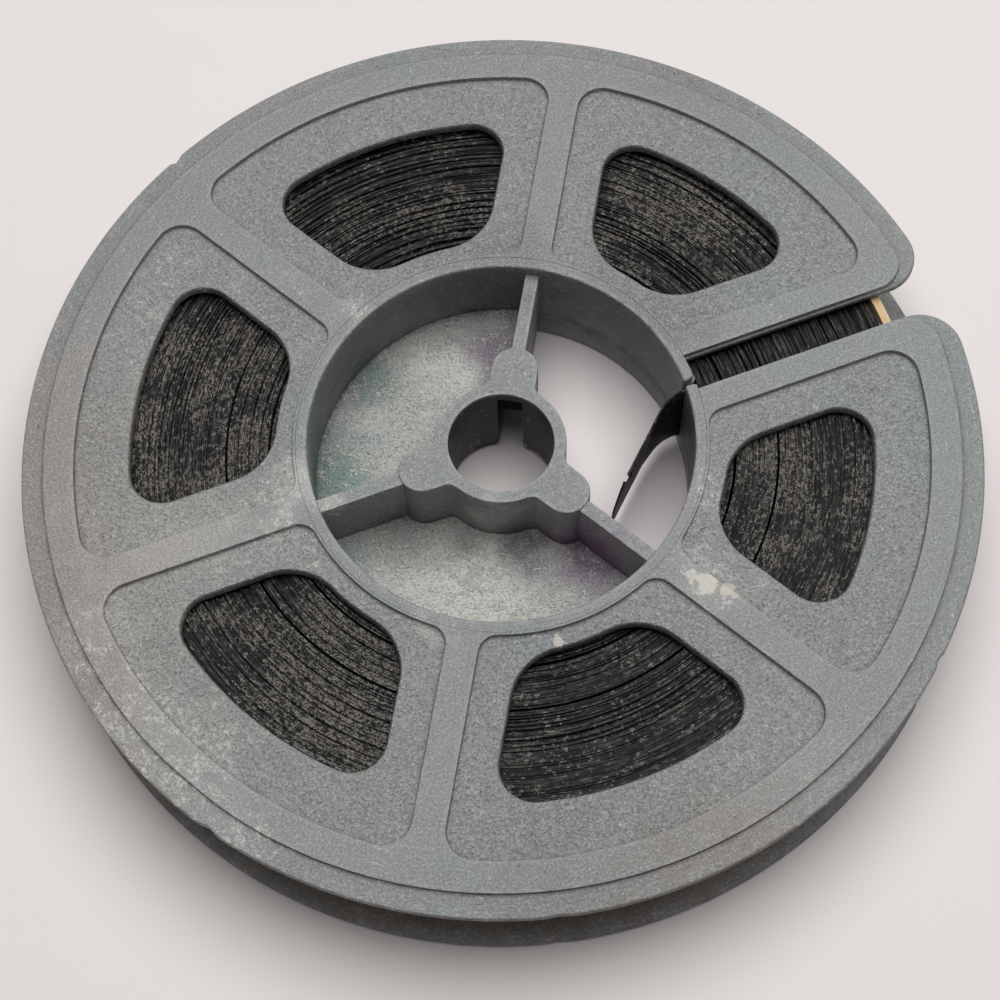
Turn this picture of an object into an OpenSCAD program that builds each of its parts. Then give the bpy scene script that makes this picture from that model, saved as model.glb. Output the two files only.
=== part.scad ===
// Cine film reel for 8 mm film: a spoked core, two flange discs pressed onto its ends,
// and a wound strip of film with its leader. The axis is Z, the threading slot lies along +X,
// and the lower flange's outer face lies at z = 0.

/* [Flanges] */
// Outside diameter of both flanges
flange_d = 73; // [66:0.5:84]
// Thickness of a flange at its ribs
flange_t = 1.05; // [0.9:0.05:1.6]
// Width of the stepped rim around a flange
rim_w = 1.75; // [1.2:0.05:2.5]
// Drop from the face to the rim at the rim's inner edge
rim_step = 0.3; // [0.15:0.05:0.4]
// Further fall of the rim towards its outer edge
rim_fall = 0.15; // [0.05:0.05:0.2]
// Bevel on the outer edge of the rim
rim_bevel = 0.15; // [0.05:0.05:0.18]

/* [Panels and windows] */
// Number of panels, each with its window
panel_count = 6; // [5:1:7]
// Depth of a panel below the face
panel_depth = 0.4; // [0.2:0.05:0.6]
// Width of a plain rib between two panels
rib_w = 2.4; // [1.6:0.1:3.2]
// Width of the rib that holds the threading slot
slot_rib_w = 7.3; // [6.4:0.1:8.4]
// Width of the raised band between the rim's step and the panels
band_w = 2.3; // [1.6:0.1:3]
// Width of the face left between the flange's hole and the panels
collar_w = 0.3; // [0.2:0.05:0.6]
// Corner radius at a panel's outer edge
panel_round_out = 2.1; // [1.2:0.1:3]
// Corner radius at a panel's inner edge
panel_round_in = 1.5; // [0.8:0.1:2]
// Panel left beyond a window's outer edge
window_out_margin = 4.15; // [3:0.05:5]
// Panel left inside a window's inner edge
window_in_margin = 1.3; // [1:0.05:2]
// Panel left beside a window
window_side_margin = 2.85; // [2:0.05:3.4]
// Corner radius at a window's outer edge
window_round_out = 2.6; // [1.8:0.1:3.2]
// Corner radius at a window's inner edge
window_round_in = 4.6; // [3:0.1:4.8]

/* [Threading slot] */
// Width of the slot in the upper flange
slot_w = 2.6; // [2:0.1:3.4]
// Radius of the corners at the slot's mouth
slot_round = 3.2; // [2.4:0.1:4]
// Ledge left along the slot beside the raised face
slot_ledge = 0.2; // [0.1:0.05:0.4]
// Corner radius of the raised face at the slot's mouth
ledge_round = 2.4; // [1.8:0.1:3]

/* [Core] */
// Diameter of the core that the film winds on
core_d = 31.75; // [28:0.25:36]
// Thickness of the core's wall
core_wall = 1.125; // [0.9:0.025:1.6]
// Shoulder at each end of the core, which a flange seats on
shoulder_w = 0.275; // [0.15:0.025:0.45]
// Drop from a flange's face to the end of the core
core_drop = 0.05; // [0.05:0.05:0.4]
// Height of the floor's top above the lower face
floor_z = 3.25; // [2.4:0.05:4.5]
// Thickness of the floor
floor_t = 1; // [0.6:0.1:1.4]
// Width of a spoke
spoke_w = 1.1; // [0.8:0.1:1.6]
// Drop from the upper face to a spoke's top
spoke_drop = 1.1; // [0.8:0.1:2]

/* [Hub] */
// Outside diameter of the hub
hub_d = 10; // [9.6:0.1:11]
// Diameter of the spindle bore
bore_d = 8.1; // [7.8:0.05:8.6]
// Drop from each face to the hub's end
hub_drop = 0.9; // [0.5:0.1:1.4]
// Width of the lobe around a keyway
lobe_w = 3.6; // [3.2:0.1:4.2]
// Reach of a lobe from the axis
lobe_reach = 8.2; // [7.9:0.1:9]
// Width of a keyway
key_w = 2; // [1.6:0.1:2.2]
// Reach of a keyway from the axis
key_reach = 6.9; // [6.4:0.1:7.1]
// Height of the round lip that closes the keyways at the top
key_lip = 1; // [0.6:0.1:2]

/* [Film] */
// Width of the film
film_w = 8; // [7.6:0.05:9.6]
// Room between the flanges beyond the film's width
film_play = 0.4; // [0.2:0.05:1]
// Thickness of the film
film_t = 0.15; // [0.12:0.01:0.18]
// Diameter of the wound film without its leader
pack_d = 62.8; // [54:0.2:63]
// Radial width of the loose turns next to the core
inner_turns_w = 1.85; // [1.4:0.05:2.6]
// Radial width of the loose turns around those
middle_turns_w = 3.15; // [2.2:0.05:4]
// Gap between bands of turns that slip on each other
turn_gap = 0.12; // [0.08:0.01:0.2]
// Gap under the film, above the lower flange
film_lift = 0.1; // [0.05:0.01:0.15]
// Distance from one modelled turn to the next
turn_pitch = 0.66; // [0.64:0.01:0.9]
// Thickness of one modelled turn
turn_t = 0.22; // [0.16:0.01:0.22]
// Height of the modelled turns above the film between them
turn_rise = 0.15; // [0.08:0.01:0.25]

/* [Tail and leader] */
// Width of the cut in the core's wall that holds the film's tail
cut_w = 0.5; // [0.45:0.05:0.8]
// Angle around the core from the slot's middle to the cut
cut_place = -2.8; // [-3:0.1:3]
// Angle of the cut away from the radius
cut_angle = 5; // [0:1:20]
// Length of the tail from the mouth of the cut
tail_len = 9.9; // [8:0.1:10]
// Length of the tail held inside the cut, from the mouth inwards
tail_grip = 0.35; // [0.2:0.05:0.4]
// Radius of the tail's bend where it leaves the cut
tail_bend_r = 3.5; // [3:0.1:4]
// Angle that the tail turns through in its bend
tail_bend = 41; // [30:1:45]
// Length of the tail beyond the middle of its last perforation
tail_tear = 1.9; // [1:0.1:2.2]
// Distance from one perforation to the next
perf_pitch = 3.81; // [3.6:0.01:4.3]
// Length of a perforation along the film
perf_l = 1.27; // [1.1:0.01:1.4]
// Height of a perforation across the film
perf_h = 1.83; // [1.6:0.01:1.9]
// Distance from the film's edge to a perforation
perf_edge = 0.9; // [0.6:0.05:1.1]
// Turns of leader around the film
leader_wraps = 5; // [2:1:6]
// Length of the leader's free end
leader_free_l = 14; // [8:0.5:20]
// Angle from the slot to the root of the leader's free end
leader_root = 250; // [200:1:280]

/* [Hidden] */
$fn = 96;

// Length that a cut runs past the face it opens
over = 1;
// Overlap of a corner's round with the sides beside it, so that they cross and don't just touch
corner_lap = 0.004;
film_gap = film_w + film_play;
height = film_gap + 2 * flange_t;
flange_r = flange_d / 2;
land_r = flange_r - rim_w;
core_r = core_d / 2;
well_r = core_r - core_wall;
spigot_r = core_r - shoulder_w;
bore_r = bore_d / 2;
hub_r = hub_d / 2;
spoke_angles = [60, 180, 300];
sector = 360 / panel_count;

panel_in_r = spigot_r + collar_w;
panel_out_r = land_r - band_w;
window_in_r = panel_in_r + window_in_margin;
window_out_r = panel_out_r - window_out_margin;

film_z = flange_t + film_lift;
pack_r = pack_d / 2;
inner_r0 = core_r + turn_gap;
inner_r1 = inner_r0 + inner_turns_w;
middle_r0 = inner_r1 + turn_gap;
middle_r1 = middle_r0 + middle_turns_w;
outer_r0 = middle_r1 + turn_gap;
leader_r0 = pack_r + turn_gap;
leader_r1 = leader_r0 + leader_wraps * film_t;
free_r0 = leader_r1 + turn_gap;
free_arc = leader_free_l / free_r0 * 180 / PI;

// Length of the tail from the cut's mouth to the end of its bend
bend_l = tail_bend_r * tail_bend * PI / 180;
// Number of straight pieces along the bend
bend_steps = 12;
// Length of the tail from the cut's mouth to the middle of its last perforation
last_perf = tail_len - tail_tear;

plastic = [0.55, 0.56, 0.56];
film_black = [0.12, 0.11, 0.11];
leader_cream = [0.85, 0.72, 0.5];

// Number of modelled turns that a band of the given width holds
function turns_in(width) = floor((width - 2 * turn_t) / turn_pitch);

// Point in the middle of a modelled turn, t turns after the start at radius r: half turns about
// two centres, so that each half turn runs smoothly into the next
function turn_point(r, t) =
    let (
        k = floor(t),
        upper = t - k < 0.5,
        radius = r + k * turn_pitch + turn_t / 2 + (upper ? 0 : turn_pitch / 2),
        centre_x = upper ? 0 : turn_pitch / 2
    )
    [centre_x + radius * cos(360 * t), radius * sin(360 * t)];

// Least gap between a turn and the turns after it, measured on points along the strip
function least_gap(r, turns, steps = 24) =
    let (last = turns * steps)
    min([
        for (i = [0 : last - 1])
            for (j = [i + steps / 2 : min(last, i + 2 * steps)])
                norm(turn_point(r, i / steps) - turn_point(r, j / steps))
    ]) - turn_t;

// Outline of one panel or window about the X axis. Its sides run parallel to the ribs beside it,
// at the given distances from those ribs' middles.
module rounded_sector(r_in, r_out, near, far, round_in, round_out) {
    half = sector / 2;
    sides = [[-1, near], [1, far]];
    corners = [
        for (s = sides)
            for (outer = [true, false])
                sector_corner(r_in, r_out, s, outer, round_in, round_out)
    ];
    difference() {
        intersection() {
            difference() {
                circle(r_out);
                circle(r_in);
            }
            polygon(sector_wedge(half, near, far, 2 * r_out));
        }
        for (c = corners)
            polygon(corner_wedge(c));
    }
    for (c = corners)
        translate(c[0])
            circle(c[1] + corner_lap);
}

// Directions along a sector's side and from that side into the sector
function side_dir(turn) = [cos(sector / 2), turn * sin(sector / 2)];
function side_in(turn) = [sin(sector / 2), -turn * cos(sector / 2)];

// Triangle between a sector's two sides
function sector_wedge(half, near, far, reach) =
    let (
        tip_x = (near + far) / (2 * sin(half)),
        tip_y = (near - far) / (2 * cos(half)),
        tip = [tip_x, tip_y]
    )
    [tip, tip + reach * side_dir(-1), tip + reach * side_dir(1)];

// One corner of a sector: its rounding's centre, radius, and directions to the side and the arc
function sector_corner(r_in, r_out, side, outer, round_in, round_out) =
    let (
        radius = outer ? round_out : round_in,
        reach = outer ? r_out - radius : r_in + radius,
        inset = side[1] + radius,
        centre = side_dir(side[0]) * sqrt(pow(reach, 2) - pow(inset, 2)) + side_in(side[0]) * inset,
        to_arc = centre / norm(centre) * (outer ? 1 : -1)
    )
    [centre, radius, -side_in(side[0]), to_arc];

// The sharp corner outside a rounding
function corner_wedge(c) =
    let (reach = 3 * c[1])
    [c[0], c[0] + reach * c[2], c[0] + reach * (c[2] + c[3]), c[0] + reach * c[3]];

// Slot along +X to the edge of a disc, with its corners at the edge rounded
module slot_mouth(edge_r, width, radius) {
    y = width / 2 + radius;
    x = sqrt(pow(edge_r - radius, 2) - pow(y, 2));
    centre = [x, y];
    out = centre / norm(centre);
    translate([0, -width / 2])
        square([edge_r + over, width]);
    for (side = [0, 1])
        mirror([0, side])
            difference() {
                polygon([[x, 0], centre, centre + 2 * radius * out, [edge_r + 2 * over, 0]]);
                translate(centre)
                    circle(radius);
            }
}

// Section through a flange from its axis to its rim, with the inner face at the bottom
module flange_section() {
    rim_top = flange_t - rim_step;
    edge_top = rim_top - rim_fall;
    polygon([
        [spigot_r, 0],
        [flange_r - rim_bevel, 0],
        [flange_r, rim_bevel],
        [flange_r, edge_top - rim_bevel],
        [flange_r - rim_bevel, edge_top],
        [land_r, rim_top],
        [land_r, flange_t],
        [spigot_r, flange_t]
    ]);
}

// One flange disc with its outer face up. The slotted one has a wider rib for the slot.
module flange_disc(slotted) {
    difference() {
        rotate_extrude()
            flange_section();
        for (i = [0 : panel_count - 1]) {
            near = (slotted && i == 0 ? slot_rib_w : rib_w) / 2;
            far = (slotted && i == panel_count - 1 ? slot_rib_w : rib_w) / 2;
            rotate((i + 0.5) * sector) {
                translate([0, 0, flange_t - panel_depth])
                    linear_extrude(panel_depth + over)
                        rounded_sector(panel_in_r, panel_out_r, near, far, panel_round_in, panel_round_out);
                translate([0, 0, -over])
                    linear_extrude(flange_t + 2 * over)
                        rounded_sector(
                            window_in_r, window_out_r,
                            near + window_side_margin, far + window_side_margin,
                            window_round_in, window_round_out
                        );
            }
        }
        if (slotted) {
            translate([0, 0, -over])
                linear_extrude(flange_t + 2 * over)
                    slot_mouth(flange_r, slot_w, slot_round);
            translate([0, 0, flange_t - rim_step])
                linear_extrude(rim_step + over)
                    slot_mouth(land_r, slot_w + 2 * slot_ledge, ledge_round);
        }
    }
}

module upper_flange() {
    color(plastic)
        translate([0, 0, height - flange_t])
            flange_disc(true);
}

module lower_flange() {
    color(plastic)
        translate([0, 0, flange_t])
            mirror([0, 0, 1])
                flange_disc(false);
}

// Wall of the core, with a spigot at each end for a flange
module core_ring() {
    rotate_extrude()
        polygon([
            [well_r, core_drop],
            [spigot_r, core_drop],
            [spigot_r, flange_t],
            [core_r, flange_t],
            [core_r, height - flange_t],
            [spigot_r, height - flange_t],
            [spigot_r, height - core_drop],
            [well_r, height - core_drop]
        ]);
}

// Spokes, and the floor that closes two of the three openings between them
module core_web() {
    floor_bottom = floor_z - floor_t;
    wall_overlap = core_wall / 2;
    for (a = spoke_angles)
        rotate(a)
            translate([bore_r, -spoke_w / 2, floor_bottom])
                cube([well_r + wall_overlap - bore_r, spoke_w, height - spoke_drop - floor_bottom]);
    rotate(spoke_angles[0])
        rotate_extrude(angle = spoke_angles[2] - spoke_angles[0])
            translate([bore_r, floor_bottom])
                square([well_r + wall_overlap - bore_r, floor_t]);
}

// Hub tube with a lobe at the root of each spoke
module hub_body() {
    hub_h = height - 2 * hub_drop;
    translate([0, 0, hub_drop])
        linear_extrude(hub_h) {
            circle(hub_r);
            for (a = spoke_angles)
                rotate(a) {
                    translate([0, -lobe_w / 2])
                        square([lobe_reach - lobe_w / 2, lobe_w]);
                    translate([lobe_reach - lobe_w / 2, 0])
                        circle(lobe_w / 2 + corner_lap);
                }
        }
}

// Spindle bore and its three keyways, which are open at the bottom
module bore_and_keyways() {
    translate([0, 0, -over])
        cylinder(h = height + 2 * over, r = bore_r);
    for (a = spoke_angles)
        rotate(a)
            translate([0, -key_w / 2, -over])
                cube([key_reach, key_w, height - hub_drop - key_lip + over]);
}

// Places a child at the mouth of the cut, with X along the cut and into the well
module at_cut() {
    rotate(cut_place)
        translate([well_r, 0, 0])
            rotate(180 + cut_angle)
                children();
}

// Cut through the core's wall that the film's tail passes, open at the top
module film_cut() {
    reach = 1.5 * core_wall / cos(cut_angle);
    at_cut()
        translate([-reach, -cut_w / 2, flange_t])
            cube([reach + over, cut_w, height]);
}

module core() {
    color(plastic)
        difference() {
            union() {
                core_ring();
                core_web();
                hub_body();
            }
            bore_and_keyways();
            film_cut();
        }
}

// One band of wound film: a strip that winds outwards, with the film between its turns set lower
module film_band(r0, r1) {
    turns = turns_in(r1 - r0);
    start = (r0 + r1 - turns * turn_pitch - turn_t) / 2;
    translate([0, 0, film_z]) {
        translate([0, 0, turn_rise])
            difference() {
                cylinder(h = film_w - 2 * turn_rise, r = r1);
                translate([0, 0, -over])
                    cylinder(h = film_w + 2 * over, r = r0);
            }
        for (k = [0 : turns - 1]) {
            rotate_extrude(angle = 180)
                translate([start + k * turn_pitch, 0])
                    square([turn_t, film_w]);
            translate([turn_pitch / 2, 0, 0])
                rotate(180)
                    rotate_extrude(angle = 180)
                        translate([start + (k + 0.5) * turn_pitch, 0])
                            square([turn_t, film_w]);
        }
    }
    echo(str("turns ", turns, ", least gap ", least_gap(start, turns), " mm"));
}

module film_inner_turns() {
    color(film_black)
        film_band(inner_r0, inner_r1);
}

module film_middle_turns() {
    color(film_black)
        film_band(middle_r0, middle_r1);
}

module film_outer_turns() {
    color(film_black)
        film_band(outer_r0, pack_r);
}

module leader_turns() {
    color(leader_cream)
        translate([0, 0, film_z])
            difference() {
                cylinder(h = film_w, r = leader_r1);
                translate([0, 0, -over])
                    cylinder(h = film_w + 2 * over, r = leader_r0);
            }
}

// Free end of the leader, lying along the last turn
module leader_end() {
    color(leader_cream)
        translate([0, 0, film_z])
            rotate(leader_root)
                rotate_extrude(angle = free_arc)
                    translate([free_r0, 0])
                        square([film_t, film_w]);
}

// Angle that the tail has turned through at a length from the cut's mouth
function tail_turn(length) = tail_bend * min(max(length / bend_l, 0), 1);

// Point on the tail's middle, at a length from the cut's mouth
function tail_point(length) =
    let (
        turn = tail_turn(length),
        before = min(length, 0),
        after = max(length - bend_l, 0)
    )
    [
        before + tail_bend_r * sin(turn) + after * cos(turn),
        tail_bend_r * (1 - cos(turn)) + after * sin(turn)
    ];

// Point on one face of the tail
function tail_side(length, side) =
    let (turn = tail_turn(length))
    tail_point(length) + side * film_t / 2 * [-sin(turn), cos(turn)];

// End of the film that stands on edge in the well, bent where it leaves the cut
module film_tail() {
    bend = [for (i = [0 : bend_steps]) bend_l * i / bend_steps];
    stops = concat([-tail_grip], bend, [tail_len]);
    last = len(stops) - 1;
    left = [for (i = [0 : last]) tail_side(stops[i], 1)];
    right = [for (i = [last : -1 : 0]) tail_side(stops[i], -1)];
    color(film_black)
        translate([0, 0, film_z])
            at_cut()
                difference() {
                    linear_extrude(film_w)
                        polygon(concat(left, right));
                    for (length = [last_perf : -perf_pitch : bend_l + perf_l])
                        translate(tail_point(length))
                            rotate(tail_bend)
                                translate([-perf_l / 2, -over, film_w - perf_edge - perf_h])
                                    cube([perf_l, 2 * over, perf_h]);
                }
}

core();
upper_flange();
lower_flange();
film_inner_turns();
film_middle_turns();
film_outer_turns();
leader_turns();
leader_end();
film_tail();
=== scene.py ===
"""Looks of the cine film reel: dressed meshes, finishes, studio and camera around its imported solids."""

import logging
import math
from dataclasses import dataclass, field
from enum import Enum
from typing import ClassVar, Optional, Sequence, Union

import bmesh
import bpy
import numpy as np
from mathutils import Matrix, Vector, noise
from mathutils.geometry import delaunay_2d_cdt


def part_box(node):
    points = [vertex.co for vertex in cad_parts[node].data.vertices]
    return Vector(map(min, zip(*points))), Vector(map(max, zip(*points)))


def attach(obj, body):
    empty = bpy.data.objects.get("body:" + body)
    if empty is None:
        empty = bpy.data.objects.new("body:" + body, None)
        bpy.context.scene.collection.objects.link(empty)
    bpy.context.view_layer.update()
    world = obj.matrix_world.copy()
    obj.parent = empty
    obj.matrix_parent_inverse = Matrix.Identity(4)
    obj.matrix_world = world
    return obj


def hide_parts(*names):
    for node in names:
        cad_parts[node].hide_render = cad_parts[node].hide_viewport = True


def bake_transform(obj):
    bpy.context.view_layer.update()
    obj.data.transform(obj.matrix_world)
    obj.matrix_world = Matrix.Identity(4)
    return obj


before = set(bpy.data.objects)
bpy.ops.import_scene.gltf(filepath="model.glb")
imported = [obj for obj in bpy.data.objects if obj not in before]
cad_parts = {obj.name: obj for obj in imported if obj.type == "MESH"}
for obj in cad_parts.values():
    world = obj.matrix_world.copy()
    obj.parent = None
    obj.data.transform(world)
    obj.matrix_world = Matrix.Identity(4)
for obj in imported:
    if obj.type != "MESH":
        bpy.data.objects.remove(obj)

Point = tuple[float, float]
Place = tuple[float, float, float]
Outline = list[Point]
Ring = list[int]
Colour = tuple[float, float, float]
Masks = dict[str, float]
Socket = bpy.types.NodeSocket
Tint = tuple[Socket, Colour]
Value = Union[float, Sequence[float], Socket]

LOG = logging.getLogger("cine_film_reel")
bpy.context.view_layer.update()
# All sizes below are millimetres in the part's own frame, and all angles are degrees
MM = 0.001
AXIS: Point = (0.0, 0.0)
# The mask of grime and shade darkens corners, creases, the feet of walls and the bore: dirt together with
# painted shade
MASKS = ("wear_and_highlight", "grime_and_shade", "grain", "dusty", "bare")


class Slot(Enum):
    """Material slots of the record."""

    PLASTIC = "reel_plastic"
    FILM = "film"
    LEADER = "leader"


class Body(Enum):
    """Bodies that pieces ride on."""

    REEL = "reel"
    OUTER = "film_outer"
    MIDDLE = "film_middle"
    INNER = "film_inner"
    LEADER_END = "leader_end"
    TAIL = "film_tail"


def srgb(red: float, green: float, blue: float) -> Colour:
    """Linear colour of display values from 0 to 255."""
    shares = (channel / 255 for channel in (red, green, blue))
    return tuple(c / 12.92 if c <= 0.04045 else ((c + 0.055) / 1.055) ** 2.4 for c in shares)


def polar(radius: float, angle: float) -> Point:
    """Point at a radius and an angle."""
    return radius * math.cos(math.radians(angle)), radius * math.sin(math.radians(angle))


def arc(centre: Sequence[float], radius: float, start: float, end: float, count: int) -> Outline:
    """Points along an arc, both ends included.

    Args:
        centre: Middle of the arc.
        radius: Radius of the arc.
        start: Angle of the first point.
        end: Angle of the last point.
        count: Number of steps between them.

    Returns:
        The points in order.
    """
    points = []
    for i in range(count + 1):
        x, y = polar(radius, start + (end - start) * i / count)
        points.append((centre[0] + x, centre[1] + y))
    return points


def turned(outline: Outline, angle: float) -> Outline:
    """The outline turned about the axis by an angle."""
    c, s = math.cos(math.radians(angle)), math.sin(math.radians(angle))
    return [(c * x - s * y, s * x + c * y) for x, y in outline]


def heading(way: Vector) -> float:
    """Angle of a direction."""
    return math.degrees(math.atan2(way.y, way.x))


def straight(first: Point, last: Point, count: int) -> Outline:
    """Points between two points, without either end."""
    (x0, y0), (x1, y1) = first, last
    return [(x0 + (x1 - x0) * i / count, y0 + (y1 - y0) * i / count) for i in range(1, count)]


@dataclass(frozen=True)
class ReelFrame:
    """Driving sizes of the reel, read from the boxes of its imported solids."""

    flange_r: float
    height: float
    flange_t: float
    core_r: float
    core_top: float
    film_low: float
    film_high: float

    @classmethod
    def measured(cls) -> "ReelFrame":
        """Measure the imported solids.

        Returns:
            The reel's driving sizes.
        """
        lower_low, lower_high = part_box("lower_flange")
        upper_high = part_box("upper_flange")[1]
        core_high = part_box("core")[1]
        film_low, film_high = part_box("film_outer_turns")
        return cls(
            flange_r=lower_high.y / MM,
            height=upper_high.z / MM,
            flange_t=(lower_high.z - lower_low.z) / MM,
            core_r=core_high.y / MM,
            core_top=core_high.z / MM,
            film_low=film_low.z / MM,
            film_high=film_high.z / MM,
        )


REEL = ReelFrame.measured()


@dataclass(frozen=True)
class Rounding:
    """A rounded corner: its centre and radius, and the directions to the side and the arc that it joins."""

    centre: Vector
    radius: float
    to_side: Vector
    to_arc: Vector

    def points(self, from_arc: bool, steps: int) -> Outline:
        """Points around the corner, along the shorter way.

        Args:
            from_arc: Whether the way starts at the arc and not at the side.
            steps: Number of steps around the corner.

        Returns:
            The points in order.
        """
        ways = (self.to_arc, self.to_side) if from_arc else (self.to_side, self.to_arc)
        first, last = (heading(way) for way in ways)
        sweep = (last - first + 180) % 360 - 180
        return arc(self.centre, self.radius, first, first + sweep, steps)


@dataclass(frozen=True)
class SectorOutline:
    """Outline of a panel or window: two arcs, and two sides parallel to the ribs beside it."""

    r_in: float
    r_out: float
    near: float
    far: float
    round_in: float
    round_out: float
    middle: float
    inner_share: float = 1.0

    # Half the angle between two ribs
    HALF: ClassVar[float] = 30.0
    ROUND_IN_STEPS: ClassVar[int] = 10
    ROUND_OUT_STEPS: ClassVar[int] = 12
    ARC_IN_STEPS: ClassVar[int] = 28
    ARC_OUT_STEPS: ClassVar[int] = 44

    def corner(self, turn: int, outer: bool, by: float) -> Rounding:
        """Rounding of one corner.

        Args:
            turn: -1 for the side met first, 1 for the other.
            outer: Whether the corner lies on the outer arc.
            by: How far the outline is grown.

        Returns:
            The rounding of the grown outline.
        """
        half = math.radians(self.HALF)
        along = Vector((math.cos(half), turn * math.sin(half)))
        inward = Vector((math.sin(half), -turn * math.cos(half)))
        radius = (self.round_out if outer else self.round_in) + by
        reach = self.r_out + by - radius if outer else self.r_in - by * self.inner_share + radius
        inset = (self.near if turn < 0 else self.far) - by + radius
        centre = along * math.sqrt(reach ** 2 - inset ** 2) + inward * inset
        return Rounding(centre, radius, -inward, centre.normalized() * (1 if outer else -1))

    def grown(self, by: float) -> Outline:
        """Outline moved outwards by a distance.

        Args:
            by: The distance; the inner arc moves by a share of it.

        Returns:
            The points, counter-clockwise.
        """
        near_in, near_out = self.corner(-1, False, by), self.corner(-1, True, by)
        far_in, far_out = self.corner(1, False, by), self.corner(1, True, by)
        points = near_in.points(True, self.ROUND_IN_STEPS)
        points += near_out.points(False, self.ROUND_OUT_STEPS)
        points += self.between(near_out, far_out, self.r_out + by, self.ARC_OUT_STEPS)
        points += far_out.points(True, self.ROUND_OUT_STEPS)
        points += far_in.points(False, self.ROUND_IN_STEPS)
        points += self.between(far_in, near_in, self.r_in - by * self.inner_share, self.ARC_IN_STEPS)
        return turned(points, self.middle)

    @staticmethod
    def between(first: Rounding, last: Rounding, radius: float, count: int) -> Outline:
        """Points of an arc about the axis between two corners, without either end."""
        return arc(AXIS, radius, heading(first.centre), heading(last.centre), count)[1:-1]


@dataclass(frozen=True)
class Dent:
    """A nick in the edge of a rim: where it is, how wide and how deep."""

    angle: float
    width: float
    depth: float


@dataclass(frozen=True)
class Disc:
    """Outline of a flange or of its raised face, with or without the threading slot."""

    radius: float
    hole_r: float
    slot_half: Optional[float] = None
    corner_round: float = 0.0
    dents: tuple[Dent, ...] = ()
    hole_share: float = 0.1

    RIM_STEPS: ClassVar[int] = 540
    HOLE_STEPS: ClassVar[int] = 220
    CORNER_STEPS: ClassVar[int] = 16

    def rim(self, inset: float, start: float, end: float) -> Outline:
        """Outer edge between two angles, with its nicks.

        Args:
            inset: How far the edge is moved into the material.
            start: Angle of the first point.
            end: Angle of the last point.

        Returns:
            The points in order, both ends included.
        """
        points = []
        for i in range(self.RIM_STEPS + 1):
            angle = start + (end - start) * i / self.RIM_STEPS
            radius = self.radius - inset
            for dent in self.dents:
                off = ((angle - dent.angle + 180) % 360 - 180) * math.radians(1) * self.radius
                radius -= dent.depth * math.exp(-(off / dent.width) ** 2)
            points.append(polar(radius, angle))
        return points

    def contours(self, inset: float) -> list[Outline]:
        """Closed contours moved into the material by a distance.

        Args:
            inset: The distance; the hole's edge moves by a share of it.

        Returns:
            One contour for a slotted disc, or the rim and the hole of a plain one.
        """
        hole = self.hole_r + inset * self.hole_share
        if self.slot_half is None:
            rim = self.rim(inset, 0.0, 360.0)[:-1]
            return [rim, arc(AXIS, hole, 360.0, 0.0, self.HOLE_STEPS)[:-1]]
        half = self.slot_half + inset
        corner = self.corner_round - inset
        y = half + corner
        x = math.sqrt((self.radius - self.corner_round) ** 2 - y ** 2)
        out = math.degrees(math.atan2(y, x))
        root = math.degrees(math.asin(half / hole))
        points: Outline = [polar(hole, root)]
        points += arc((x, y), corner, -90.0, out, self.CORNER_STEPS)
        points += self.rim(inset, out, 360.0 - out)[1:-1]
        points += arc((x, -y), corner, -out, 90.0, self.CORNER_STEPS)
        points += arc(AXIS, hole, 360.0 - root, root, self.HOLE_STEPS)[:-1]
        return [points]


@dataclass(frozen=True)
class Step:
    """One ring of a moulded edge: its distance from the outline, its height and its masks."""

    offset: float
    height: float
    # Wear on edges, which also paints a highlight along them
    wear_and_highlight: float = 0.0
    # Grime in creases and corners, which also paints shade there
    grime_and_shade: float = 0.0
    grain: float = 0.0

    def masks(self) -> Masks:
        """Masks of the ring's points."""
        return {"wear_and_highlight": self.wear_and_highlight, "grime_and_shade": self.grime_and_shade, "grain": self.grain}


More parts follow.
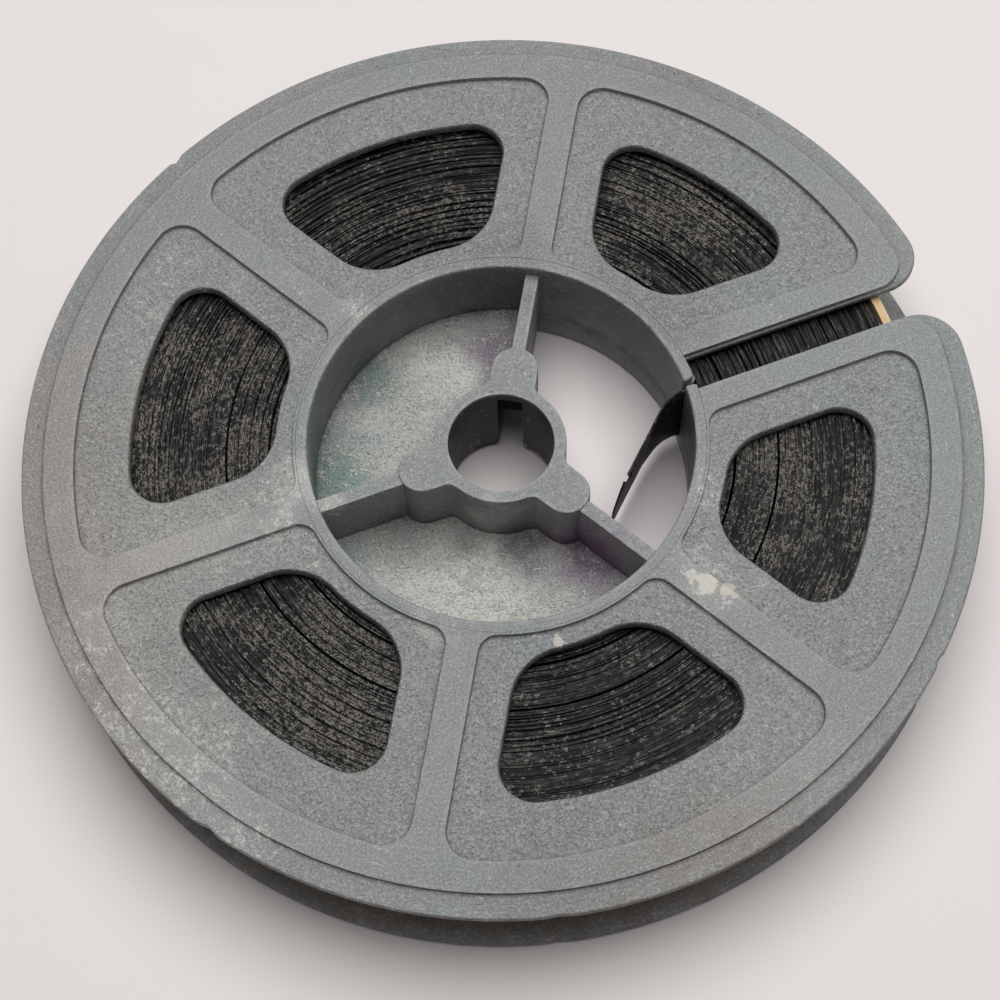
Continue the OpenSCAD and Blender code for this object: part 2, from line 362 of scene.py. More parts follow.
class MeshSketch:
    """A mesh in the making: points with masks, and faces between rings of points."""

    # Distance under which two points of a filled area count as one
    FILL_TOLERANCE: ClassVar[float] = 1e-6

    def __init__(self) -> None:
        """Start with no points and no faces."""
        self.points: list[Place] = []
        self.faces: list[tuple[int, ...]] = []
        self.smooth: list[bool] = []
        self.masks: dict[str, list[float]] = {name: [] for name in MASKS}

    def add(self, point: Sequence[float], masks: Optional[Masks] = None) -> int:
        """Add a point.

        Args:
            point: Its place.
            masks: Its masks, where they aren't nought.

        Returns:
            The point's number.
        """
        self.points.append((float(point[0]), float(point[1]), float(point[2])))
        for name in MASKS:
            self.masks[name].append((masks or {}).get(name, 0.0))
        return len(self.points) - 1

    def ring(self, outline: Outline, z: float, masks: Optional[Masks] = None) -> Ring:
        """Add an outline's points at one height."""
        return [self.add((x, y, z), masks) for x, y in outline]

    def face(self, corners: Sequence[int], smooth: bool = False) -> None:
        """Add one face."""
        self.faces.append(tuple(corners))
        self.smooth.append(smooth)

    def skin(self, first: Ring, second: Ring, smooth: bool = True) -> None:
        """Join two closed rings of the same length by a strip of faces.

        Args:
            first: The ring that the strip starts at.
            second: The ring that it ends at.
            smooth: Whether the strip is shaded as a curve.
        """
        count = len(first)
        for i in range(count):
            k = (i + 1) % count
            self.face((first[i], first[k], second[k], second[i]), smooth)

    def halfway(self, first: Ring, second: Ring, share: float, masks: Masks) -> Ring:
        """Add a ring part of the way from one ring to another.

        Args:
            first: The ring at share 0.
            second: The ring at share 1.
            share: How far along the way the new ring lies.
            masks: Masks of its points.

        Returns:
            The new ring.
        """
        ring = []
        for a, b in zip(first, second):
            start, end = self.points[a], self.points[b]
            ring.append(self.add([p + (q - p) * share for p, q in zip(start, end)], masks))
        return ring

    def stack(self, rings: Sequence[Ring], smooth: bool = True) -> None:
        """Join rings one after the other."""
        for first, second in zip(rings, rings[1:]):
            self.skin(first, second, smooth)

    def cap(self, rings: Sequence[Ring], smooth: bool = True) -> None:
        """Join rings one after the other, and close both ends.

        Args:
            rings: Closed rings of the same length.
            smooth: Whether the sides are shaded as a curve.
        """
        self.stack(rings, smooth)
        self.fill([rings[0]])
        self.fill([rings[-1]])

    def fill(self, rings: Sequence[Ring]) -> None:
        """Fill the level area that lies inside an odd number of the given rings.

        Args:
            rings: Closed rings of point numbers that don't cross.
        """
        ids = [i for ring in rings for i in ring]
        flat = [Vector(self.points[i][:2]) for i in ids]
        edges = []
        start = 0
        for ring in rings:
            edges += [(start + i, start + (i + 1) % len(ring)) for i in range(len(ring))]
            start += len(ring)
        made = delaunay_2d_cdt(flat, edges, [], 0, self.FILL_TOLERANCE, True)
        origins = [ids[sources[0]] for sources in made[3]]
        spots = np.array([sum((made[0][i] for i in tri), Vector((0, 0))) / 3 for tri in made[2]])
        ends = np.array([[flat[a], flat[b]] for a, b in edges])
        for tri, inside in zip(made[2], self.inside(spots, ends)):
            if inside:
                self.face([origins[i] for i in tri])

    @staticmethod
    def inside(spots: np.ndarray, ends: np.ndarray) -> np.ndarray:
        """Find the spots inside an odd number of contours.

        Args:
            spots: The spots.
            ends: Both ends of each edge of the contours.

        Returns:
            Whether each spot lies inside.
        """
        (x0, y0), (x1, y1) = ends[:, 0].T, ends[:, 1].T
        x, y = spots[:, :1], spots[:, 1:]
        spans = (y0 > y) != (y1 > y)
        rise = np.where(y1 == y0, 1.0, y1 - y0)
        crossing = x < x0 + (y - y0) / rise * (x1 - x0)
        return (spans & crossing).sum(axis=1) % 2 == 1

    def build(self, name: str, material: bpy.types.Material, sharp: float = 38.0) -> bpy.types.Object:
        """Make the object.

        Args:
            name: Name of the object and its mesh.
            material: The finish.
            sharp: Angle above which an edge is shaded as a crease.

        Returns:
            The object, at the origin, with its place in its mesh.
        """
        mesh = bpy.data.meshes.new(name)
        mesh.from_pydata([tuple(c * MM for c in point) for point in self.points], [], self.faces)
        mesh.polygons.foreach_set("use_smooth", self.smooth)
        for mask, values in self.masks.items():
            layer = mesh.attributes.new(mask, "FLOAT", "POINT")
            layer.data.foreach_set("value", values)
        shell = bmesh.new()
        shell.from_mesh(mesh)
        bmesh.ops.recalc_face_normals(shell, faces=shell.faces)
        self.turn_outwards(shell)
        shell.to_mesh(mesh)
        shell.free()
        mesh.set_sharp_from_angle(angle=math.radians(sharp))
        mesh.materials.append(material)
        piece = bpy.data.objects.new(name, mesh)
        bpy.context.scene.collection.objects.link(piece)
        return piece

    @staticmethod
    def turn_outwards(shell: bmesh.types.BMesh) -> None:
        """Turn round each closed shell whose faces look inwards.

        Args:
            shell: The mesh, of one or more closed shells.
        """
        left = set(shell.faces)
        while left:
            island = [left.pop()]
            for face in island:
                near = {other for edge in face.edges for other in edge.link_faces} & left
                left -= near
                island.extend(near)
            volume = 0.0
            for face in island:
                corners = [corner.co for corner in face.verts]
                for second, third in zip(corners[1:], corners[2:]):
                    volume += corners[0].dot(second.cross(third))
            if volume < 0.0:
                bmesh.ops.reverse_faces(shell, faces=island)


class ShaderBench:
    """Adds and links nodes in one shader tree."""

    # Nodes are laid out in rows, so that the tree can be read
    PER_ROW: ClassVar[int] = 9
    CELL: ClassVar[tuple[int, int]] = (220, -260)

    def __init__(self, tree: bpy.types.NodeTree) -> None:
        """Work on the given tree."""
        self.tree = tree

    def add(self, kind: str, **settings: object) -> bpy.types.Node:
        """Add a node.

        Args:
            kind: Blender's name for the type of node.
            **settings: Properties to set on it.

        Returns:
            The node.
        """
        node = self.tree.nodes.new(kind)
        row, column = divmod(len(self.tree.nodes), self.PER_ROW)
        node.location = (self.CELL[0] * column, self.CELL[1] * row)
        for key, value in settings.items():
            setattr(node, key, value)
        return node

    def feed(self, socket: Socket, value: Value) -> None:
        """Link a socket, or set it to a constant.

        Args:
            socket: The input.
            value: An output to link it to, or a number, vector or colour.
        """
        if isinstance(value, bpy.types.NodeSocket):
            self.tree.links.new(value, socket)
        elif socket.type == "RGBA":
            socket.default_value = (*value, 1.0)
        else:
            socket.default_value = value

    def math(self, operation: str, first: Value, second: Value = 0.0, clamp: bool = False) -> Socket:
        """Calculate with one or two numbers.

        Args:
            operation: Blender's name for the calculation.
            first: The first number.
            second: The second number, where there is one.
            clamp: Whether the result is kept from 0 to 1.

        Returns:
            The result.
        """
        node = self.add("ShaderNodeMath", operation=operation, use_clamp=clamp)
        self.feed(node.inputs[0], first)
        self.feed(node.inputs[1], second)
        return node.outputs[0]

    def plus(self, first: Value, second: Value) -> Socket:
        """Sum of two numbers."""
        return self.math("ADD", first, second)

    def minus(self, first: Value, second: Value, clamp: bool = False) -> Socket:
        """Difference of two numbers."""
        return self.math("SUBTRACT", first, second, clamp)

    def times(self, first: Value, second: Value, clamp: bool = False) -> Socket:
        """Product of two numbers."""
        return self.math("MULTIPLY", first, second, clamp)

    def rising(self, mask: Value, start: float, slope: float) -> Socket:
        """A number that rises with a mask from a start."""
        return self.plus(start, self.times(mask, slope))

    def apart(self, first: Socket, second: Socket) -> Socket:
        """Measure between two places.

        Args:
            first: One place.
            second: The other.

        Returns:
            The distance.
        """
        node = self.add("ShaderNodeVectorMath", operation="DISTANCE")
        self.feed(node.inputs[0], first)
        self.feed(node.inputs[1], second)
        return node.outputs["Value"]

    def noise(self, position: Socket, scale: Value, detail: float = 2.0, rough: float = 0.5,
              bend: float = 0.0) -> Socket:
        """Noise from 0 to 1.

        Args:
            position: Where on the object.
            scale: Size of the noise, larger for finer.
            detail: Number of finer layers.
            rough: Strength of the finer layers.
            bend: How far the noise is warped by itself.

        Returns:
            The noise.
        """
        node = self.add("ShaderNodeTexNoise")
        given = {"Vector": position, "Scale": scale, "Detail": detail, "Roughness": rough, "Distortion": bend}
        for name, value in given.items():
            self.feed(node.inputs[name], value)
        return node.outputs["Fac"]

    def ramp(self, value: Value, low: Value, high: Value, start: float = 0.0, end: float = 1.0) -> Socket:
        """Carry a number smoothly from one range to another.

        Args:
            value: The number.
            low: Where the first range starts.
            high: Where it ends.
            start: Where the second range starts.
            end: Where it ends.

        Returns:
            The number in the second range.
        """
        node = self.add("ShaderNodeMapRange", interpolation_type="SMOOTHSTEP")
        given = {"Value": value, "From Min": low, "From Max": high, "To Min": start, "To Max": end}
        for name, number in given.items():
            self.feed(node.inputs[name], number)
        return node.outputs["Result"]

    def mix(self, share: Value, first: Value, second: Value) -> Socket:
        """Mix two colours.

        Args:
            share: Share of the second colour.
            first: The first colour.
            second: The second colour.

        Returns:
            The mixed colour.
        """
        node = self.add("ShaderNodeMix", data_type="RGBA", blend_type="MIX")
        self.feed(node.inputs[0], share)
        self.feed(node.inputs[6], first)
        self.feed(node.inputs[7], second)
        return node.outputs[2]

    def attribute(self, name: str) -> Socket:
        """A mask that the mesh carries."""
        return self.add("ShaderNodeAttribute", attribute_name=name).outputs["Fac"]

    def group(self, tree: bpy.types.NodeTree, **inputs: Value) -> bpy.types.NodeOutputs:
        """Add a shared effect.

        Args:
            tree: The effect's node group.
            **inputs: Its named inputs.

        Returns:
            Its outputs.
        """
        node = self.add("ShaderNodeGroup", node_tree=tree)
        for name, value in inputs.items():
            self.feed(node.inputs[name], value)
        return node.outputs


@dataclass(frozen=True)
class Mottle:
    """A noise, and the part of its range that is carried smoothly to a mask."""

    scale: float
    detail: float
    rough: float
    low: float
    high: float
    least: float = 0.0
    most: float = 1.0

    def mask(self, bench: ShaderBench, place: Socket) -> Socket:
        """The mask at a place."""
        value = bench.noise(place, self.scale, self.detail, self.rough)
        return bench.ramp(value, self.low, self.high, self.least, self.most)


class EffectKit:
    """Shader effects that several finishes share, each built once as a node group."""

    FLOAT: ClassVar[str] = "NodeSocketFloat"
    VECTOR: ClassVar[str] = "NodeSocketVector"
    ORIGIN: ClassVar[Place] = (0.0, 0.0, 0.0)
    # The value that noise lies around
    MIDDLE: ClassVar[float] = 0.5
    # Grain: size and height of its swell, and the parts of its relief that are tops and hollows
    SWELL: ClassVar[Point] = (0.45, 0.25)
    TOPS: ClassVar[Point] = (0.55, 0.7)
    HOLLOWS: ClassVar[Point] = (0.45, 0.3)
    # Cover: the part of its drift that counts, and how thin and thick it gets
    DRIFT: ClassVar[tuple[float, ...]] = (0.3, 0.75, 0.5, 1.4)
    # Dust: sizes of its drift and clumps, level, fall and edge of the clumps, and the part that is grains
    DUST_SIZES: ClassVar[Point] = (0.06, 0.3)
    DUST_CLUMPS: ClassVar[Place] = (0.66, 0.22, 0.16)
    DUST_GRAINS: ClassVar[Point] = (0.36, 0.62)
    # Lint: sizes of its drift and breaks, level, fall and edge of the breaks, layers, and width of a thread
    LINT_SIZES: ClassVar[Point] = (0.08, 1.15)
    LINT_BREAKS: ClassVar[Place] = (0.75, 0.38, 0.12)
    LINT_LAYERS: ClassVar[Point] = (1.0, 1.4)
    LINT_WIDTH: ClassVar[Point] = (0.055, 0.012)
    # Radius, in metres, at which the length along a turn is taken
    WOUND_R: ClassVar[float] = 0.025

    def __init__(self) -> None:
        """Build every effect."""
        self.grain = self.make_grain()
        self.dust = self.make_dust()
        self.lint = self.make_lint()
        self.spot = self.make_spot()
        self.wound = self.make_wound()

    @classmethod
    def start(cls, name: str, inputs: dict[str, Value],
              outputs: dict[str, str]) -> tuple[ShaderBench, bpy.types.NodeOutputs, bpy.types.NodeInputs]:
        """Begin a node group.

        Args:
            name: Name of the group.
            inputs: Default of each named input, a number or a vector.
            outputs: Type of each named output.

        Returns:
            A bench for the group's tree, the sockets of what is given to it and of what it puts out.
        """
        tree = bpy.data.node_groups.new(name, "ShaderNodeTree")
        for key, default in inputs.items():
            kind = cls.FLOAT if isinstance(default, float) else cls.VECTOR
            socket = tree.interface.new_socket(name=key, in_out="INPUT", socket_type=kind)
            socket.default_value = default
        for key, kind in outputs.items():
            tree.interface.new_socket(name=key, in_out="OUTPUT", socket_type=kind)
        bench = ShaderBench(tree)
        given, out = bench.add("NodeGroupInput"), bench.add("NodeGroupOutput")
        return bench, given.outputs, out.inputs

    @classmethod
    def uneven(cls, bench: ShaderBench, place: Socket, scale: Value, cover: Socket) -> Socket:
        """Cover that drifts between thin and thick.

        Args:
            bench: The group's bench.
            place: Position on the object.
            scale: Size of the drift.
            cover: The even cover.

        Returns:
            The drifting cover, from 0 to 1.
        """
        drift = bench.noise(place, scale, 2.0)
        return bench.times(cover, bench.ramp(drift, *cls.DRIFT), clamp=True)

    @staticmethod
    def above(bench: ShaderBench, value: Socket, gain: Socket, limits: Place) -> Socket:
        """Mask of where a noise lies above a level that falls as the cover grows.

        Args:
            bench: The group's bench.
            value: The noise.
            gain: The cover.
            limits: The level at no cover, how far it falls at full cover, and the width of the mask's edge.

        Returns:
            The mask.
        """
        level, fall, width = limits
        low = bench.minus(level, bench.times(gain, fall))
        return bench.ramp(value, low, bench.plus(low, width))

    def make_grain(self) -> bpy.types.NodeTree:
        """Moulded grain: crowded small bumps on a gentle swell, and masks of its tops and hollows.

        Returns:
            The node group.
        """
        outputs = dict.fromkeys(("High", "Low", "Relief"), self.FLOAT)
        bench, given, out = self.start("moulded_grain", {"Position": self.ORIGIN, "Scale": 2600.0}, outputs)
        place, scale = given["Position"], given["Scale"]
        size, height = self.SWELL
        bumps = bench.noise(place, scale, detail=2.0, rough=0.55, bend=0.3)
        swell = bench.noise(place, bench.times(scale, size), detail=1.0)
        relief = bench.plus(bumps, bench.times(bench.minus(swell, self.MIDDLE), height))
        bench.feed(out["High"], bench.ramp(relief, *self.TOPS))
        bench.feed(out["Low"], bench.ramp(relief, *self.HOLLOWS))
        bench.feed(out["Relief"], relief)
        return bench.tree

    def make_dust(self) -> bpy.types.NodeTree:
        """Dust: clumps of fine grains, thicker in some places than in others.

        Returns:
            The node group.
        """
        inputs = {"Position": self.ORIGIN, "Scale": 2400.0, "Cover": 0.1}
        bench, given, out = self.start("dust_flecks", inputs, {"Mask": self.FLOAT})
        place, scale = given["Position"], given["Scale"]
        drift_scale, clump_scale = (bench.times(scale, share) for share in self.DUST_SIZES)
        gain = self.uneven(bench, place, drift_scale, given["Cover"])
        clumps = bench.noise(place, clump_scale, detail=3.0, rough=0.65)
        fine = bench.ramp(bench.noise(place, scale, detail=2.0, rough=0.6), *self.DUST_GRAINS)
        bench.feed(out["Mask"], bench.times(self.above(bench, clumps, gain, self.DUST_CLUMPS), fine))
        return bench.tree

    def make_lint(self) -> bpy.types.NodeTree:
        """Lint: short pale threads that lie in all directions, thicker in some places than in others.

        Returns:
            The node group.
        """
        inputs = {"Position": self.ORIGIN, "Scale": 2600.0, "Cover": 0.5}
        bench, given, out = self.start("lint_threads", inputs, {"Mask": self.FLOAT})
        place, scale = given["Position"], given["Scale"]
        threads: Value = 0.0
        for share in self.LINT_LAYERS:
            wander = bench.noise(place, bench.times(scale, share), detail=1.0, bend=0.5)
            apart = bench.math("ABSOLUTE", bench.minus(wander, self.MIDDLE))
            threads = bench.math("MAXIMUM", threads, bench.ramp(apart, *self.LINT_WIDTH))
        drift_scale, break_scale = (bench.times(scale, share) for share in self.LINT_SIZES)
        gain = self.uneven(bench, place, drift_scale, given["Cover"])
        breaks = bench.noise(place, break_scale)
        bench.feed(out["Mask"], bench.times(threads, self.above(bench, breaks, gain, self.LINT_BREAKS)))
        return bench.tree

    def make_spot(self) -> bpy.types.NodeTree:
        """A round patch, with an edge that starts at a share of its radius and is made ragged by a factor.

        Returns:
            The node group.
        """
        inputs = {
            "Position": self.ORIGIN,
            "Centre": self.ORIGIN,
            "Radius": 0.003,
            "Edge": 0.15,
            "Ragged": 1.0,
        }
        bench, given, out = self.start("soft_patch", inputs, {"Mask": self.FLOAT})
        apart = bench.times(bench.apart(given["Position"], given["Centre"]), given["Ragged"])
        near = bench.math("DIVIDE", apart, given["Radius"])
        bench.feed(out["Mask"], bench.ramp(near, 1.0, given["Edge"]))
        return bench.tree

    def make_wound(self) -> bpy.types.NodeTree:
        """Place on the winding: radius, length along a turn and height, with the length times a factor.

        Returns:
            The node group.
        """
        inputs = {"Position": self.ORIGIN, "Along": 0.05}
        bench, given, out = self.start("winding_place", inputs, {"Place": self.VECTOR})
        parts = bench.add("ShaderNodeSeparateXYZ")
        bench.feed(parts.inputs[0], given["Position"])
        x, y, z = parts.outputs
        radius = bench.math("SQRT", bench.plus(bench.math("POWER", x, 2.0), bench.math("POWER", y, 2.0)))
        along = bench.times(bench.math("ARCTAN2", y, x), bench.times(given["Along"], self.WOUND_R))
        place = bench.add("ShaderNodeCombineXYZ")
        for socket, value in zip(place.inputs, (radius, along, z)):
            bench.feed(socket, value)
        bench.feed(out["Place"], place.outputs[0])
        return bench.tree


@dataclass(frozen=True)
class Patch:
    """A patch at one place: a stain, painted shade or chip of a tint or, without one, a thicker cover of
    dust.
    """

    centre: Place
    radius: float
    strength: float
    tint: Optional[Colour] = None
    edge: float = 0.15


@dataclass
class Patchwork:
    """What a finish's patches add up to: the cover of dust, and the shares and tints of stains, painted shade
    and chips.
    """

    cover: Value
    stains_and_shade: list[Tint] = field(default_factory=list)
    chips: list[Tint] = field(default_factory=list)

    # A smaller patch is a chip, which lies over the grain and has a finer edge
    CHIP_R: ClassVar[float] = 1.6
    WIDE_EDGE: ClassVar[Mottle] = Mottle(330.0, 3.0, 0.5, 0.25, 0.75, 0.6, 1.4)
    CHIP_EDGE: ClassVar[Mottle] = Mottle(1500.0, 3.0, 0.5, 0.25, 0.75, 0.6, 1.4)

    def lay(self, bench: ShaderBench, kit: EffectKit, place: Socket, patches: Sequence[Patch]) -> None:
        """Add patches.

        Args:
            bench: The material's bench.
            kit: The shared effects.
            place: Position on the object.
            patches: The patches.
        """
        wide, small = self.WIDE_EDGE.mask(bench, place), self.CHIP_EDGE.mask(bench, place)
        for patch in patches:
            ragged, tints = (small, self.chips) if patch.radius < self.CHIP_R else (wide, self.stains_and_shade)
            spot = bench.group(
                kit.spot,
                Position=place,
                Centre=tuple(c * MM for c in patch.centre),
                Radius=patch.radius * MM,
                Edge=patch.edge,
                Ragged=ragged,
            )
            share = bench.times(spot["Mask"], patch.strength)
            if patch.tint is None:
                self.cover = bench.plus(self.cover, share)
            else:
                tints.append((share, patch.tint))

    @staticmethod
    def tinted(bench: ShaderBench, colour: Value, tints: Sequence[Tint]) -> Value:
        """Lay tints over a colour, one after the other.

        Args:
            bench: The material's bench.
            colour: The colour.
            tints: Share and colour of each tint.

        Returns:
            The tinted colour.
        """
        for share, tint in tints:
            colour = bench.mix(share, colour, tint)
        return colour


def new_material(name: str) -> tuple[bpy.types.Material, ShaderBench, bpy.types.Node]:
    """Start a material.

    Args:
        name: Name of the material.

    Returns:
        The material, its bench and its principled shader.
    """
    material = bpy.data.materials.new(name)
    material.use_nodes = True
    bench = ShaderBench(material.node_tree)
    shader = material.node_tree.nodes["Principled BSDF"]
    return material, bench, shader


@dataclass(frozen=True)
class PlasticFinish:
    """Grey moulded plastic: smooth ribs, grained panels, dust, grime with painted shade in corners and
    creases, worn edges with painted highlights, painted highlight and shade on the grain, and near-black
    painted shade in the bore.
    """

    base: Colour = srgb(135, 137, 138)
    cool: Colour = srgb(124, 131, 134)
    warm: Colour = srgb(139, 134, 131)
    # Pale of grain and scratches, also the painted highlight on the grain's tops
    pale: Colour = srgb(196, 198, 196)
    # Pale of worn edges, also a painted highlight along top edges
    worn_and_highlight: Colour = srgb(172, 174, 172)
    # Colour of dirt and specks, also of the painted shade in corners and creases
    dirt_and_shade: Colour = srgb(62, 49, 46)
    # Near-black painted shade in the bore and keyways
    bore_shade: Colour = srgb(22, 20, 20)
    # Painted shade in the grain's hollows, also the darker fine spots
    shade: Colour = srgb(104, 105, 106)
    dust: Colour = srgb(214, 213, 206)
    grain_scale: float = 4300.0
    tooth_scale: float = 6200.0
    fleck_scale: float = 4600.0
    scratch_scale: float = 2400.0
    scratch_along: float = 0.03
    scratch_half: float = 0.014
    cover: float = 0.2
    dust_veil: float = 0.62
    roughness: float = 0.5
    bump_strength: float = 0.9
    bump_depth: float = 0.25
    grain_pale: float = 0.2
    haze_share: float = 0.1
    corner_dust: float = 0.15
    floor_dust: float = 0.85
    dust_rough: float = 0.3
    grain_rough: float = 0.12
    # Share of the near-black painted shade in the bore and keyways
    bore_shade_share: float = 0.85
    # A share where the mask of grain or of dusty floors is nought, and its rise with the mask; the first is
    # painted highlight and shade on the grain
    grain_force: Point = (0.16, 0.3)
    fleck_share: Point = (0.72, 0.25)
    relief_share: Point = (0.4, 1.05)
    crust_share: Point = (0.12, 0.5)
    # The part of the finest grain that counts, and the shares that it is carried to
    tooth_tops: tuple[float, ...] = (0.5, 0.75, 0.0, 0.4)
    tooth_hollows: tuple[float, ...] = (0.5, 0.25, 0.0, 0.45)
    tone: Mottle = Mottle(55.0, 3.0, 0.55, 0.35, 0.65)
    cloud: Mottle = Mottle(260.0, 5.0, 0.65, 0.3, 0.7, 0.3, 1.0)
    scuff: Mottle = Mottle(900.0, 4.0, 0.65, 0.35, 0.7, 0.1, 0.8)
    smear: Mottle = Mottle(700.0, 4.0, 0.6, 0.25, 0.7, 0.4, 1.0)
    scratched: Mottle = Mottle(420.0, 3.0, 0.5, 0.5, 0.72, 0.0, 0.45)
    specks: Mottle = Mottle(2000.0, 2.0, 0.6, 0.66, 0.74, 0.0, 0.4)
    rim_stains: tuple[Patch, ...] = (
        Patch((-37.0, 2.0, 10.0), 30.0, 0.4, srgb(156, 138, 122)),
        Patch((38.0, -12.0, 10.0), 30.0, 0.3, srgb(134, 152, 146)),
        Patch((-6.0, -37.0, 10.0), 13.0, 0.35, srgb(118, 102, 86)),
        Patch((4.0, -36.0, 10.0), 9.0, 0.35, srgb(122, 104, 84)),
        Patch((27.0, 26.0, 10.0), 8.0, 0.3, srgb(110, 98, 86)),
        Patch((-26.0, 0.5, 10.5), 9.0, 0.45, srgb(180, 176, 170)),
        Patch((-20.0, 13.0, 10.5), 9.0, 0.3, srgb(168, 166, 162)),
    )
    well_stains_and_shade: tuple[Patch, ...] = (
        Patch((-6.0, -8.6, 3.3), 8.0, 0.95, srgb(222, 221, 212)),
        Patch((-0.8, 11.0, 3.3), 5.4, 0.95, srgb(220, 220, 212)),
        Patch((-12.8, 6.8, 6.4), 6.0, 0.55, srgb(104, 138, 132)),
        Patch((-12.4, 4.6, 3.3), 4.6, 0.85, srgb(74, 124, 112)),
        Patch((-7.2, 11.4, 3.3), 3.6, 0.8, srgb(76, 122, 110)),
        Patch((-13.6, -2.6, 3.3), 2.8, 0.5, srgb(104, 142, 130)),
        # Painted shadow cast by the hub and spokes on the floor on their south side, purple and dark
        Patch((4.4, -8.2, 3.3), 6.2, 1.0, srgb(116, 76, 122)),
        Patch((3.6, -6.2, 3.3), 2.6, 0.8, srgb(70, 56, 70)),
        Patch((-4.6, -4.4, 3.3), 2.4, 0.7, srgb(84, 74, 80)),
        Patch((9.2, -8.6, 3.3), 4.6, 1.0, srgb(108, 72, 116)),
        Patch((-0.5, -6.0, 3.3), 3.4, 0.9, srgb(70, 56, 70)),
        Patch((-8.5, -1.8, 3.3), 4.2, 0.6, srgb(90, 78, 82)),
        Patch((3.4, 10.6, 3.3), 3.6, 0.9, srgb(116, 80, 122)),
        Patch((1.8, 7.4, 3.3), 2.2, 0.3, srgb(130, 106, 134)),
        # Painted shade on the well's inner wall
        Patch((3.0, 14.5, 7.0), 9.0, 0.45, srgb(84, 74, 90)),
        Patch((14.0, 5.0, 7.0), 8.0, 0.45, srgb(80, 70, 86)),
        Patch((14.5, -4.5, 7.0), 5.0, 0.5, srgb(78, 66, 84)),
        Patch((-15.2, 2.2, 10.5), 3.2, 0.45, srgb(192, 192, 186), 0.3),
    )
    chips: tuple[Patch, ...] = (
        Patch((10.1, -16.5, 10.3), 1.1, 0.75, srgb(216, 212, 200), 0.6),
        Patch((11.3, -17.4, 10.3), 0.8, 0.7, srgb(212, 206, 192), 0.6),
        Patch((9.2, -15.4, 10.3), 0.6, 0.7, srgb(212, 208, 198), 0.6),
        Patch((-1.75, -16.6, 10.2), 0.45, 1.0, srgb(208, 205, 194), 0.85),
    )
    dusty_places: tuple[Patch, ...] = (
        Patch((10.6, -16.8, 10.3), 4.2, 1.2),
        Patch((-6.8, 15.0, 10.4), 1.8, 1.0),
        Patch((-15.4, 2.0, 10.4), 4.5, 1.3),
        Patch((-31.5, -13.0, 10.2), 7.0, 1.2),
        Patch((-29.6, -20.5, 10.2), 6.5, 1.2),
        Patch((-33.2, -4.5, 10.2), 6.0, 0.7),
        Patch((-20.0, -3.0, 10.2), 8.0, 0.5),
        Patch((10.0, -31.0, 10.2), 9.0, 0.45),
        Patch((-20.0, 16.0, 10.2), 10.0, 0.45),
        Patch((15.0, -10.0, 10.2), 7.0, 0.6),
    )

    def build(self, kit: EffectKit) -> bpy.types.Material:
        """Make the material.

        Args:
            kit: The shared effects.

        Returns:
            The material.
        """
        material, bench, shader = new_material("reel_plastic")
        place = bench.add("ShaderNodeTexCoord").outputs["Object"]
        masks = {name: bench.attribute(name) for name in MASKS}
        grain, dusty = masks["grain"], masks["dusty"]
        work = Patchwork(self.cover)
        work.lay(bench, kit, place, self.rim_stains + self.well_stains_and_shade + self.chips + self.dusty_places)
        mould = bench.group(kit.grain, Position=place, Scale=self.grain_scale)
        colour = self.ground(bench, place, masks, work)
        colour = self.moulded(bench, place, grain, mould, colour)
        colour = self.marked(bench, kit, place, masks, colour)
        haze = bench.times(bench.minus(work.cover, self.cover, clamp=True), self.haze_share)
        colour = bench.mix(haze, colour, self.dust)
        in_corners = bench.times(masks["grime_and_shade"], self.corner_dust)
        settled = bench.plus(in_corners, bench.times(dusty, self.floor_dust))
        cover = bench.plus(work.cover, settled)
        flecks = bench.group(kit.dust, Position=place, Scale=self.fleck_scale, Cover=cover)["Mask"]
        colour = bench.mix(bench.times(flecks, bench.rising(dusty, *self.fleck_share)), colour, self.dust)
        bench.feed(shader.inputs["Base Color"], work.tinted(bench, colour, work.chips))
        rough = bench.rising(flecks, self.roughness, self.dust_rough)
        bench.feed(shader.inputs["Roughness"], bench.plus(rough, bench.times(grain, self.grain_rough)))
        relief = bench.times(mould["Relief"], bench.rising(grain, *self.relief_share))
        crust = bench.times(flecks, bench.rising(dusty, *self.crust_share))
        bump = bench.add("ShaderNodeBump")
        bump.inputs["Strength"].default_value = self.bump_strength
        bump.inputs["Distance"].default_value = self.bump_depth * MM
        bench.feed(bump.inputs["Height"], bench.plus(relief, crust))
        bench.feed(shader.inputs["Normal"], bump.outputs[0])
        return material

    def ground(self, bench: ShaderBench, place: Socket, masks: dict[str, Socket], work: Patchwork) -> Value:
        """Uneven grey of the plastic, veiled with dust, stained and painted with patches of shade.

        Args:
            bench: The material's bench.
            place: Position on the object.
            masks: Masks that the mesh carries.
            work: The patches.

        Returns:
            The colour.
        """
        colour = bench.mix(self.tone.mask(bench, place), self.cool, self.warm)
        colour = bench.mix(self.cloud.mask(bench, place), colour, self.base)
        clean = bench.mix(bench.times(masks["dusty"], self.dust_veil), colour, self.dust)
        return bench.mix(masks["bare"], work.tinted(bench, clean, work.stains_and_shade), clean)

    def moulded(self, bench: ShaderBench, place: Socket, grain: Socket, mould: bpy.types.NodeOutputs,
                colour: Value) -> Value:
        """Paler tops and darker hollows of the moulded surface: painted highlight and shade on the grain's
        relief, and finer paler and darker spots.

        Args:
            bench: The material's bench.
            place: Position on the object.
            grain: Mask of the grained places.
            mould: The grain.
            colour: The colour so far.

        Returns:
            The colour.
        """
        colour = bench.mix(bench.times(grain, self.grain_pale), colour, self.pale)
        force = bench.rising(grain, *self.grain_force)
        # Painted shade in the grain's hollows, painted highlight on its tops
        colour = bench.mix(bench.times(mould["Low"], force), colour, self.shade)
        colour = bench.mix(bench.times(mould["High"], force), colour, self.pale)
        tooth = bench.noise(place, self.tooth_scale, 1.0)
        colour = bench.mix(bench.ramp(tooth, *self.tooth_tops), colour, self.pale)
        return bench.mix(bench.ramp(tooth, *self.tooth_hollows), colour, self.shade)

